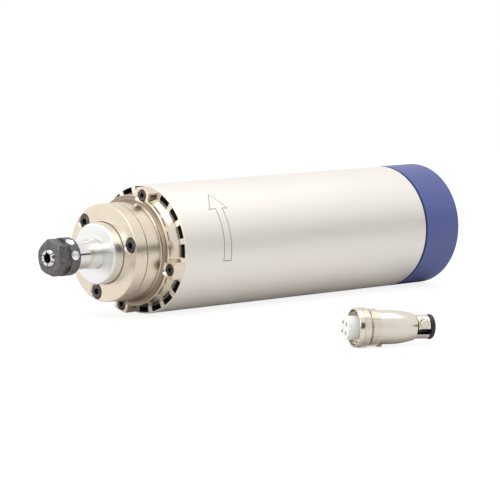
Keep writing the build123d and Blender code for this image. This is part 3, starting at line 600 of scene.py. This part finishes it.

# %% [markdown]
# The front housing carries the two front bearings. It is turned from bar with a collar and a flange, and
# four lugs reach out over the tube's solid places. A fillet joins the collar to the flange. Its faces
# are a rougher metal with painted shade: a darker tint that stands for the dark band in the concave
# corner. The flange has a fine rim, a shallow hollow behind it, and widens to meet the tube.

# %% Sizes of the front end
flange_t = 7.9
collar_l = 10.1
collar_r = 24.6
flange_r = 28.0
flange_flare = 0.9
flange_rim_l = 0.9
hollow_start, hollow_end, hollow_depth = -5.6, -3.2, 0.35
collar_fillet = 2.0
# how far along the axis the painted shade on the fillet reaches
fillet_shade_l = 1.5
joint_groove_w = 0.5
joint_groove_depth = 1.0
lug_t = 7.1
lug_w = 9.7
lug_corner = 1.8
housing_joint = -flange_t - collar_l
cap_face = reach("front_bearing_cap")[0]
housing_end = reach("front_housing")[1]
seat_fit = 0.02
spigot_r = tube_bore_r - seat_fit
lip_r = 13.6
bearing_r = 16.0
seat_r = bearing_r + seat_fit
spigot_l = 8.0
front_shoulder = 3.0
m3_head_r, m3_head_l, m3_shank_r, m3_across = 2.75, 3.0, 1.5, 2.5
m4_head_r, m4_head_l, m4_shank_r, m4_across = 3.5, 4.0, 2.0, 3.0
m3_head_play = 0.25
m4_head_play = 0.2
shank_play = 0.2
head_recess = 0.2
lug_head_seat = -lug_t + m3_head_l + head_recess
cap_chamfer = 0.55
cap_screw_r = 20.5
cap_screw_angles = [75.6 + 120 * k for k in range(3)]
cap_head_seat = cap_face + m4_head_l + head_recess
print("cap face", round(cap_face, 2), "housing end", round(housing_end, 2))


# %% Front housing
def stepped_drill(face, head_r, seat, shank_r, end, chamfer=0.3):
    """A counterbore and its through hole, with a broken edge at the face."""
    return turned([(face - overrun, 0, 0), (face - overrun, head_r + chamfer + overrun, 0),
                   (face + chamfer, head_r, 0), (seat, head_r, 0), (seat, shank_r, 0), (end, shank_r, 0),
                   (end, 0, 0)], steps=48)


def lug():
    """A flat tongue with rounded corners that rises from the flange."""
    bm = bmesh.new()
    bmesh.ops.create_grid(bm, x_segments=1, y_segments=1, size=0.5)
    bmesh.ops.scale(bm, vec=(tube_r - seat_r, lug_w, 1), verts=bm.verts)
    corners = [vert for vert in bm.verts if vert.co.x > 0]
    bmesh.ops.bevel(bm, geom=corners, offset=lug_corner, offset_type="OFFSET", segments=8,
                    profile=0.5, affect="VERTICES", material=-1)
    return moved(pushed_up(bm, lug_t), turn(90, "Y"), turn(180, "Z"))


def lug_at(angle):
    stand = lug()
    low = min(vert.co.x for vert in stand.verts)
    return moved(stand, turn(angle), shift(-lug_t - low, 0, (tube_r + seat_r) / 2))


housing = turned([(housing_joint, seat_r, 0.3), (housing_joint, collar_r, 0.12),
                  (-flange_t, collar_r, collar_fillet), (-flange_t, flange_r - 0.1, 0.25),
                  (-flange_t + flange_rim_l, flange_r, 0.3),
                  (hollow_start, flange_r - hollow_depth, 0.9), (hollow_end, flange_r, 1.0),
                  (0, flange_r + flange_flare, 0.0), (0, spigot_r, 0.0),
                  (spigot_l, spigot_r, 0.3), (spigot_l, lip_r, 0.3), (front_shoulder, lip_r, 0.2),
                  (front_shoulder, seat_r, 0.0)], steps=200)
lugs = together([lug_at(angle) for angle in lug_angles])
lug_step = 0.1
keep = rod(-lug_t - overrun, overrun, tube_r - lug_step, steps=240)
housing = boolean(housing, boolean(lugs, keep, "INTERSECT"), "UNION")
housing = soften(housing, 0.22)
lug_drill = (-lug_t, m3_head_r + m3_head_play, lug_head_seat, m3_shank_r + shank_play,
             spigot_l + overrun)
housing = boolean(housing, around(lambda: stepped_drill(*lug_drill), lug_screw_r, lug_angles))
# the collar fillet's faces get the second material, which is painted shade
for face in housing.faces:
    x, radius = station(face)
    if collar_r < radius < collar_r + collar_fillet and -fillet_shade_l < x + flange_t < 0.05:
        face.material_index = 1
finished(housing, "front_housing_turned", "housing", [front_metal, fillet_shade_metal],
         ["front_housing"])

# %% [markdown]
# The bearing cap closes the housing. Its three counterbores are wide enough to break out
# through the rim, and their edges are chamfered bright. The dust ring turns in its bore.

# %% Bearing cap and dust ring
dust_start, dust_end, dust_r = reach("dust_ring")
free_gap = 0.3
cap_recess = 5.4
cap_web = 1.5
cap_lip = 1
web_start = cap_face + cap_recess
web_end = web_start + cap_web
groove_start = housing_joint - joint_groove_w
groove_r = collar_r - joint_groove_depth
dust_hub_r = 9.5
dust_bore_r = 7.5
dust_bevel = 0.5
hub_hole_r = dust_hub_r + free_gap
cap_hole_r = dust_r + free_gap
bearing_cap = turned([(cap_face, cap_hole_r, 0.15), (cap_face, collar_r, 0.35),
                      (groove_start, collar_r, 0.1), (groove_start, groove_r, 0.0),
                      (housing_joint, groove_r, 0.0), (housing_joint, bearing_r, 0.0),
                      (housing_joint + cap_lip, bearing_r, 0.2),
                      (housing_joint + cap_lip, lip_r, 0.0), (web_end, lip_r, 0.0),
                      (web_end, hub_hole_r, 0.1), (web_start, hub_hole_r, 0.0),
                      (web_start, cap_hole_r, 0.0)], steps=200)
cap_drill = (cap_face, m4_head_r + m4_head_play, cap_head_seat, m4_shank_r + shank_play,
             housing_joint + overrun, cap_chamfer)
cap_holes = around(lambda: stepped_drill(*cap_drill), cap_screw_r, cap_screw_angles)
finished(boolean(bearing_cap, cap_holes), "front_bearing_cap_turned", "housing",
         [front_metal], ["front_bearing_cap"])

ring_back = web_start - free_gap
dust = turned([(dust_start, dust_bore_r, 0.2), (dust_start, dust_r - dust_bevel, 0.35),
               (dust_start + dust_bevel, dust_r, 0.35), (ring_back, dust_r, 0.1),
               (ring_back, dust_hub_r, 0.0), (dust_end, dust_hub_r, 0.1),
               (dust_end, dust_bore_r, 0.0)], steps=200)
finished(dust, "dust_ring_turned", "rotor", [dust_metal], ["dust_ring"])

# %% [markdown]
# Socket head screws are small, but their hexagon sockets are what the eye finds. A head
# is turned with a rounded rim, and a six-sided bar cuts the socket.

# %% Screws
def socket_screw(head_r, head_l, shank_r, length, across):
    """Along +X, with the underside of the head at x = 0."""
    body = turned([(-head_l, 0, 0), (-head_l, head_r, 0.35), (0, head_r, 0.1), (0, shank_r, 0.0),
                   (length, shank_r, 0.3), (length, 0, 0)], steps=48)
    key_depth = head_l * 0.55
    key = moved(rod(-head_l - overrun, -head_l + key_depth, across / math.sqrt(3), steps=6), turn(30))
    return soften(boolean(body, key), 0.08)


def screws(node, x, facing, radius, angles, sizes):
    """A ring of screws that point along +X or, with facing -1, along -X."""
    flip = turn(0 if facing > 0 else 180, "Y")
    made = around(lambda: moved(socket_screw(*sizes), flip), radius, angles)
    finished(moved(made, shift(x)), node + "_black", "housing", [screw_black], [node])


m4_sizes = (m4_head_r, m4_head_l, m4_shank_r, 12.0, m4_across)
m3_sizes = (m3_head_r, m3_head_l, m3_shank_r, 10.0, m3_across)
m3_long_sizes = (m3_head_r, m3_head_l, m3_shank_r, 30.0, m3_across)
screws("cap_screws", cap_head_seat, 1, cap_screw_r, cap_screw_angles, m4_sizes)
screws("lug_screws", lug_head_seat, 1, lug_screw_r, lug_angles, m3_sizes)

# %% [markdown]
# The nose is a ground shaft with two wrench flats, the collet in it and the dark nut that
# closes it. Shaft and collet keep the frame's own solids with their edges rounded. The nut
# is turned anew, six flats are milled round its front, and two balance spots are drilled
# through the black down to bare steel.

# %% Shaft and collet
finished(copied("spindle_shaft", 0.12), "spindle_shaft_ground", "rotor",
         [ground_steel], ["spindle_shaft"])
finished(copied("collet", 0.08), "collet_ground", "collet", [collet_steel],
         ["collet"])

# %% Collet nut
nut_face, nut_back, _ = reach("collet_nut")
nut_r = 9.5
nut_across = 16.2
nut_hex_l = 7.4
nut_nose_l, nut_nose_drop = 1.2, 1.8
nut_hex_angle = 17.0
nut_bore_r = 7.05
nut_mouth_r = 4.49
nut_cone_end = nut_face + 0.9
nut_inner_r = 5.0
nut_lip_start = nut_face + 1.6
nut_lip_end = nut_lip_start + 1.2
nut_lip_r = 4.4
balance_angles = [33.4, 81.3]
balance_r = 2.3
balance_back = 3.7
balance_point = 1.2
balance_depth = 1.7
balance_drill_l = 4.0


def flats_cutter():
    """A ring that leaves a hexagon standing: what the mill takes off the front of the nut."""
    start, end = nut_face - overrun, nut_face + nut_hex_l
    hexagon = rod(start - overrun, end + overrun, nut_across / math.sqrt(3), steps=6)
    return boolean(rod(start, end, nut_r + overrun, steps=160),
                   moved(hexagon, turn(nut_hex_angle + 30)))


def drill_point():
    """A drill with a cone end, pointing at the axis."""
    bm = turned([(0.0, 0, 0), (balance_point, balance_r, 0), (balance_drill_l, balance_r, 0),
                 (balance_drill_l, 0, 0)], steps=40)
    return moved(bm, shift(nut_back - balance_back, 0, nut_r - balance_depth), turn(-90, "Y"))


nut = turned([(nut_face, nut_mouth_r, 0.2), (nut_face, nut_r - nut_nose_drop, 0.5),
              (nut_face + nut_nose_l, nut_r, 0.6), (nut_back, nut_r, 0.7), (nut_back, nut_bore_r, 0.3),
              (nut_lip_end, nut_bore_r, 0.0), (nut_lip_end, nut_lip_r, 0.0),
              (nut_lip_start, nut_lip_r, 0.0), (nut_lip_start, nut_inner_r, 0.0),
              (nut_cone_end, nut_inner_r, 0.0)], steps=160)
spots = together([moved(drill_point(), turn(angle)) for angle in balance_angles])
for face in spots.faces:
    face.material_index = 1
nut = boolean(boolean(nut, flats_cutter()), spots)
finished(soften(nut, 0.2), "collet_nut_black", "collet_nut",
         [nut_black, bare_steel], ["collet_nut"])

# %% [markdown]
# The blue rear cap is a cup with a flat back. Radial slots let the fan's air through,
# four deep counterbores take the long screws, and the power socket sits in the middle.

# %% Rear cap
rear_start, rear_end, rear_r = reach("rear_cap")
rear_wall = 1.5
rear_plate = 2.5
plate_face = rear_end - rear_plate
post_r = 3.9
post_start = rear_start + 2.5
socket_r = 7.95
vent_count = 16
vent_w = 2.8
vent_in_r = 13.5
vent_out_r = 25.0
rear_head_seat = rear_end - m3_head_l - head_recess


def vent():
    """A radial slot with round ends, above the axis."""
    bm = bmesh.new()
    bmesh.ops.create_grid(bm, x_segments=1, y_segments=1, size=0.5)
    bmesh.ops.scale(bm, vec=(vent_out_r - vent_in_r, vent_w, 1), verts=bm.verts)
    bmesh.ops.bevel(bm, geom=bm.verts[:], offset=vent_w / 2 - 0.01, offset_type="OFFSET",
                    segments=6, profile=0.5, affect="VERTICES", material=-1)
    return moved(pushed_up(bm, rear_plate * 2), shift(plate_face - rear_plate / 2), turn(90, "Y"))


def at_screws(start, end, radius):
    """A round bar at each of the four long screws."""
    return around(lambda: rod(start, end, radius), lug_screw_r, lug_angles)


socket_hole_r = socket_r + 0.1
back = turned([(rear_start, rear_r - rear_wall, 0.2), (rear_start, rear_r, 0.3),
               (rear_end, rear_r, 1.0), (rear_end, socket_hole_r, 0.2),
               (plate_face, socket_hole_r, 0.0), (plate_face, rear_r - rear_wall, 1.0)], steps=240)
back = boolean(back, at_screws(post_start, plate_face + rear_plate / 2, post_r), "UNION")
back_start, back_end = post_start - overrun, rear_end + overrun
back = boolean(back, rod(back_start, back_end, rear_r, steps=240), "INTERSECT")
vent_angles = [lug_angle + 360 * k / vent_count for k in range(vent_count)]
back = boolean(back, around(vent, (vent_in_r + vent_out_r) / 2, vent_angles))
back = boolean(back, at_screws(rear_head_seat, back_end, m3_head_r + m3_head_play))
back = boolean(back, at_screws(back_start, back_end, m3_shank_r + shank_play))
finished(soften(back, 0.2), "rear_cap_blue", "housing", [cap_blue], ["rear_cap"])
screws("rear_screws", rear_head_seat, -1, lug_screw_r, lug_angles, m3_long_sizes)

# %% [markdown]
# The power socket is a nickel barrel with a fine thread, held by a flat nut. The thread is
# a true helix: a small ridge is spun round the axis and moved one pitch for each turn.

# %% Power socket
socket_start, socket_mouth, _ = reach("socket_shell")
socket_flange_r = 9.4
socket_bore_r = 6.4
socket_lip_r = 5.2
thread_pitch = 1.0
thread_depth = 0.45
relief_start, relief_end = rear_end + 3.0, rear_end + 3.8
relief_r = socket_r - thread_depth - 0.1
key_w = 1.4
key_front_gap = 0.3
key_back_gap = 4.0


def thread(start, end, radius, pitch, depth):
    """A closed helical ridge that stands on a core of radius minus depth."""
    steps_per_turn = 48
    turns = (end - start) / pitch
    bm = bmesh.new()
    root = radius - depth - 0.05
    profile = [(-0.4, root), (-0.06, radius), (0.06, radius), (0.4, root)]
    bm.faces.new([bm.verts.new((start + pitch * share, 0, r)) for share, r in profile])
    steps = int(turns * steps_per_turn)
    bmesh.ops.spin(bm, geom=bm.verts[:] + bm.edges[:] + bm.faces[:], cent=(0, 0, 0), axis=(1, 0, 0),
                   dvec=(pitch / steps_per_turn, 0, 0), angle=FULL_TURN * steps / steps_per_turn,
                   steps=steps, use_merge=False, use_duplicate=False)
    bmesh.ops.holes_fill(bm, edges=bm.edges, sides=0)
    bmesh.ops.recalc_face_normals(bm, faces=bm.faces)
    return bm


nickel = turned_metal("nickel", (233, 227, 218), (219, 212, 202), 0.2, 2e-6)
barrel_r = socket_r - thread_depth
barrel = turned([(socket_start, socket_lip_r, 0.1), (socket_start, socket_flange_r, 0.3),
                 (plate_face, socket_flange_r, 0.2), (plate_face, barrel_r, 0.0),
                 (relief_start, barrel_r, 0.0), (relief_start, relief_r, 0.0),
                 (relief_end, relief_r, 0.0), (relief_end, barrel_r, 0.0),
                 (socket_mouth, barrel_r, 0.25), (socket_mouth, socket_bore_r, 0.15),
                 (plate_face, socket_bore_r, 0.0), (plate_face, socket_lip_r, 0.0)], steps=96)
socket_thread = thread(relief_end + 0.4, socket_mouth - 1.0, socket_r, thread_pitch, thread_depth)
hidden_thread = boolean(rod(plate_face, relief_start, socket_r, steps=96),
                        rod(plate_face - overrun, relief_start + overrun, barrel_r - 0.2))
key = block((plate_face + key_back_gap, socket_mouth - key_front_gap), key_w,
            (socket_bore_r - 0.7, socket_bore_r + 0.2))
shell_parts = [barrel, socket_thread, hidden_thread, soften(key, 0.12)]
finished(together(shell_parts), "socket_shell_nickel", "housing", [nickel],
         ["socket_shell"])


def kept_piece(node, name, width, material, body):
    """A piece that keeps the frame's solid, with its edges rounded."""
    finished(copied(node, width), name, body, [material], [node])


kept_piece("socket_nut", "socket_nut_nickel", 0.15, nickel, "housing")
kept_piece("socket_insulator", "socket_insulator_black", 0.12, insulator_black,
           "housing")
kept_piece("socket_pins", "socket_pins_brass", 0.05, contact_brass, "housing")

# %% [markdown]
# The cable plug lies loose on the table, so its pieces are drawn along their own axis and
# then laid where the frame's joint says the coupling ring turns. Its knurling is made from
# the mesh itself: every second face of the grip is inset and raised.

# %% Lay the plug's axis
ring_joint = next(joint for joint in frame["joints"] if joint["name"] == "plug_ring_turn")
plug_origin = Vector(ring_joint["pos_m"]) / MM
plug_axis = Vector(ring_joint["axis"]).normalized()
plug_yaw = math.degrees(math.atan2(plug_axis.y, plug_axis.x))
plug_pitch = math.degrees(-math.asin(plug_axis.z))
plug_place = shift(*plug_origin) @ turn(plug_yaw, "Z") @ turn(plug_pitch, "Y")
plug_centre = tuple(plug_origin * MM)
plug_angles = (0, math.radians(plug_pitch), math.radians(plug_yaw))
print("the plug is turned", round(plug_yaw, 2), "and dips", round(plug_pitch, 2), "degrees")

plug_nickel = turned_metal("plug_nickel", (238, 230, 219), (226, 217, 204), 0.18, 3e-6,
                           centre=plug_centre, angles=plug_angles)
knurl_h = 0.34
knurl_count = 58
knurl_slope = 0.09


def knurled(bm, start, end, radius):
    """Raises every second face of a grip between two stations."""
    grip = []
    for face in bm.faces:
        x, out = station(face)
        if start < x < end and out > radius - 0.15 and abs(face.normal.x) < 0.1:
            middle = face.calc_center_median()
            grip.append((math.atan2(middle.y, middle.z), face))
    grip.sort(key=lambda item: item[0])
    around_count = len({round(angle, 4) for angle, _ in grip})
    step = FULL_TURN / around_count
    ridges = [face for angle, face in grip if int((angle + math.pi) / step + 0.25) % 2]
    bmesh.ops.inset_individual(bm, faces=ridges, thickness=knurl_slope, depth=knurl_h,
                               use_even_offset=True)
    return bm


def plug_piece(bm, node, name, material, body="plug"):
    """A piece drawn along X, laid where the plug lies."""
    finished(moved(bm, plug_place), name, body, [material], [node])


# %% Coupling ring
ring_r = 9.25
ring_l = 6.1
ring_plain_l = 2.3
ring_bore_r = 8.05
ring_lip_r = 7.15
ring_lip_start = ring_l - 1.5
ring_grip_r = ring_r - knurl_h
ring_grip = (ring_plain_l + 0.25, ring_l - 0.35)
ring = turned([(0, ring_bore_r + 0.2, 0.25), (0, ring_r - 0.25, 0.35),
               (ring_plain_l - 0.1, ring_r - 0.02, 0.2), (ring_grip[0], ring_grip_r, 0.0),
               (ring_grip[1], ring_grip_r, 0.0), (ring_l, ring_grip_r - 0.35, 0.15),
               (ring_l, ring_lip_r, 0.1), (ring_lip_start, ring_lip_r, 0.0),
               (ring_lip_start, ring_bore_r, 0.0)], steps=2 * knurl_count)
ring = knurled(ring, *ring_grip, ring_grip_r)
plug_piece(ring, "plug_ring", "plug_ring_knurled", plug_nickel, "plug_ring")

# %% Shell with its clamp
shell_start = ring_l + 0.7
band_end = shell_start + 4.1
straight_end = band_end + 5.8
taper_end = straight_end + 12.8
shell_end = taper_end + 0.9
shell_wall = 1.2
shell_floor = 2.0
band_grip_r = 8.7 - knurl_h
shell_r = 7.95
shell_end_r = 6.4
shell_bore_r = shell_r - shell_wall
neck_r = 7.02
sleeve_end = ring_l + 5.45
saddle_start = shell_end - 0.3
jaw_l = 6.7
jaw_end = shell_end + jaw_l
jaw_r = 5.6
cable_r = 3.4
jaw_gap_below = 3.1


def taper_radius(share):
    """The shell narrows along an arc that leaves the straight part without a kink."""
    length = taper_end - straight_end
    drop = shell_r - shell_end_r
    arc_r = (length ** 2 + drop ** 2) / (2 * drop)
    along = share * length
    return shell_r - arc_r + math.sqrt(arc_r ** 2 - along ** 2)


taper = [(straight_end + share * (taper_end - straight_end), taper_radius(share), 0)
         for share in (0.2, 0.4, 0.6, 0.8, 1.0)]
shell = turned([(shell_start, neck_r, 0.0), (shell_start, band_grip_r, 0.15),
                (band_end, band_grip_r, 0.1), (band_end, shell_r, 0.1),
                (straight_end, shell_r, 0.0), *taper, (shell_end, shell_end_r - 0.6, 0.5),
                (shell_end, cable_r, 0.2), (shell_end - shell_floor, cable_r, 0.0),
                (taper_end - shell_floor, shell_end_r - shell_wall, 0.0),
                (straight_end, shell_bore_r, 0.0), (sleeve_end, shell_bore_r, 0.0),
                (sleeve_end, neck_r, 0.0)], steps=2 * knurl_count)
shell = knurled(shell, shell_start + 0.1, band_end - 0.1, band_grip_r)
saddle = turned([(saddle_start, cable_r, 0.1), (saddle_start, jaw_r, 0.2), (jaw_end, jaw_r, 0.5),
                 (jaw_end, cable_r, 0.3)], steps=96)
below = block((shell_end - jaw_l / 2, jaw_end + jaw_l / 2), jaw_r * 4,
              (-jaw_gap_below - jaw_r * 2, -jaw_gap_below))
saddle = soften(boolean(saddle, below, "INTERSECT"), 0.2)
plug_piece(together([shell, saddle]), "plug_shell", "plug_shell_knurled", plug_nickel)

for part, width in [("jaw", 0.15), ("sleeve", 0.1), ("clamp_screws", 0.1), ("set_screw", 0.08)]:
    kept_piece("plug_" + part, f"plug_{part}_nickel", width, plug_nickel, "plug")
kept_piece("plug_contacts", "plug_contacts_tinned", 0.05, contact_tin, "plug")

# %% White insert and rubber bush
insert_front = -4.5
insert_back = sleeve_end + 1.5
insert_r = 5.55
insert_rim_r = 6.6
contact_hole_r = 1.02
contact_circle_r = 2.95
contact_angles = [54 + 90 * k for k in range(4)]
insert = turned([(insert_front, 0, 0), (insert_front, insert_r, 0.45), (sleeve_end, insert_r, 0.0),
                 (sleeve_end, insert_rim_r, 0.1), (insert_back, insert_rim_r, 0.1),
                 (insert_back, 0, 0)], steps=96)
contact_holes = around(lambda: rod(insert_front - overrun, sleeve_end + 3, contact_hole_r),
                       contact_circle_r, contact_angles)
insert = soften(boolean(insert, contact_holes), 0.15)
plug_piece(insert, "plug_insert", "plug_insert_white", insulator_white)

bush_start = jaw_end - 8
bush_end = jaw_end + 2.3
bush_r = 5.85
bush_stem_r = 3.3
bush_bore_r = 2.5
bush = turned([(jaw_end, bush_stem_r, 0.0), (jaw_end, bush_r, 0.8), (bush_end, bush_r, 0.9),
               (bush_end, bush_bore_r, 0.5), (bush_start, bush_bore_r, 0.2),
               (bush_start, bush_stem_r, 0.3)], steps=96)
plug_piece(bush, "plug_bush", "plug_bush_rubber", bush_rubber)

# %% [markdown]
# The inner pieces show only a little, through the vents and the rear of the cap. They keep
# the frame's own meshes and only get their finish: a table says which.

# %% Dress the inner pieces
inner_finishes = {
    bearing_steel: ["front_outer_races", "front_inner_races", "front_balls", "rear_outer_race",
                    "rear_inner_race", "rear_balls"],
    ground_steel: ["outer_spacer", "inner_spacer"], cage_resin: ["front_cages", "rear_cage"],
    lamination: ["stator_core", "rotor_core"], winding: ["stator_windings"],
    cast_aluminium: ["rotor_cage", "rear_bracket"], spring_steel: ["wave_spring", "fan_clip"],
    fan_plastic: ["fan"], lead_cover: ["power_leads"],
}
for material, names in inner_finishes.items():
    for name in names:
        nodes[name].data.materials.clear()
        nodes[name].data.materials.append(material)
print("dressed", sum(len(names) for names in inner_finishes.values()), "inner pieces")

# %% [markdown]
# The table is a plain white floor. The camera sees it glow at white through glass and air
# alike, but polished metal sees only a small share of that glow and mostly the lit floor.
# A share of plain diffuse white lets the soft contact shadow through. The room round it is
# white to the eye as well, and lights the spindle a little less.

# %% Floor and world
OPAQUE_WHITE = (1.0, 1.0, 1.0, 1.0)
floor_z = -tube_r
floor_glow_share = 0.75
floor_mirrored = 0.05
room_mirrored = 0.4
room_light = 0.84


def sheet(name, width, depth):
    """A flat sheet in the XY plane, in metres."""
    bm = bmesh.new()
    bmesh.ops.create_grid(bm, x_segments=1, y_segments=1, size=0.5)
    bmesh.ops.scale(bm, vec=(width, depth, 1), verts=bm.verts)
    return new_object(name, mesh_from(bm, name))


def seen_share(graph, mirrored):
    """How far a ray sees the white: all the way by eye, and a share in a reflection."""
    eye = graph.node("ShaderNodeLightPath")
    outputs = eye.socket.node.outputs
    through = Wire(graph, outputs["Is Transmission Ray"])
    return eye + through + Wire(graph, outputs["Is Glossy Ray"]) * mirrored


floor = sheet("floor", 12, 12)
floor.location.z = floor_z * MM
floor_look = Finish("floor_white", Roughness=0.9)
floor_look.set("Base Color", (0.74, 0.735, 0.73, 1.0))
glow = floor_look.node("ShaderNodeEmission")
shaded = floor_look.node("ShaderNodeBsdfPrincipled", inputs={
    "Base Color": (0.8, 0.8, 0.8, 1.0), "Roughness": 0.9, "Emission Color": OPAQUE_WHITE,
    "Emission Strength": 0.4})
seen = floor_look.node("ShaderNodeMixShader", inputs={0: floor_glow_share, 1: shaded, 2: glow})
plain = Wire(floor_look, floor_look.shader.outputs[0])
both = floor_look.node("ShaderNodeMixShader", inputs={
    0: seen_share(floor_look, floor_mirrored), 1: plain, 2: seen})
floor_look.feed(floor_look.tree.nodes["Material Output"].inputs[0], both)
floor.data.materials.append(floor_look.material)

world = bpy.data.worlds.new("white_studio")
bpy.context.scene.world = world
world.use_nodes = True
sky = Graph(world.node_tree)
white, room = [sky.node("ShaderNodeBackground", inputs={"Color": OPAQUE_WHITE, "Strength": level})
               for level in (1.0, room_light)]
sky_mix = sky.node("ShaderNodeMixShader", inputs={
    0: seen_share(sky, room_mirrored), 1: room, 2: white})
sky.feed(world.node_tree.nodes["World Output"].inputs[0], sky_mix)
print("floor at", round(floor_z, 2), "mm")

# %% [markdown]
# Three soft lamps light it from above, from the left and from beyond the nose. Round metal
# needs something dark to mirror as well: one card to the right and one behind the camera
# put the dark bands on the barrel. Neither lamps nor cards are seen by the camera.

# %% Lamps and cards
def aimed(thing, where, target, face):
    """Puts a lamp or card in its place, hidden from the camera, with one face to a target."""
    thing.location = where
    thing.rotation_mode = "QUATERNION"
    thing.rotation_quaternion = (Vector(target) - Vector(where)).to_track_quat(face, "Y")
    thing.visible_camera = False
    return thing


def lamp(name, power, size, where):
    light = bpy.data.lights.new(name, "AREA")
    light.shape = "RECTANGLE"
    light.size, light.size_y = size
    light.energy = power
    aimed(new_object(name, light), where, (0.09, 0, 0), "-Z")


def dark_card(name, size, where):
    look = Finish(name, Roughness=0.9)
    look.set("Base Color", (0.05, 0.05, 0.05, 1.0))
    card = aimed(sheet(name, *size), where, (0.0, 0.0, 0.1), "Z")
    card.data.materials.append(look.material)


lamp("top_softbox", 2.8, (0.9, 0.7), (0.05, -0.15, 0.8))
lamp("left_softbox", 3, (0.6, 0.6), (-0.9, -0.35, 0.45))
lamp("nose_softbox", 2.3, (1.2, 0.9), (-0.95, 0.95, 0.2))
dark_card("right_dark_card", (0.9, 0.2), (0.75, -0.72, 0.12))
dark_card("camera_dark_card", (3.0, 1.3), (-1.25, -1.4, 0.6))
print("lamps:", sorted(light.name for light in bpy.data.lights))

# %% [markdown]
# The camera stands where the photograph was taken: about a metre and a half away, low,
# and off the nose, with a long lens.

# %% Camera
camera_data = bpy.data.cameras.new("camera")
camera_data.sensor_width = 36
camera_data.lens = 213.9
camera_data.clip_start = 0.05
camera_data.clip_end = 50
camera = new_object("camera", camera_data)
camera.location = (-0.9983, -1.1018, 0.1530)
looking = Vector((0.6944, 0.7122, -0.1027))
camera.rotation_mode = "QUATERNION"
camera.rotation_quaternion = looking.to_track_quat("-Z", "Y")
bpy.context.scene.camera = camera
bpy.context.scene.view_settings.view_transform = "Standard"
print("the camera stands", round(camera.location.length, 2), "m away")
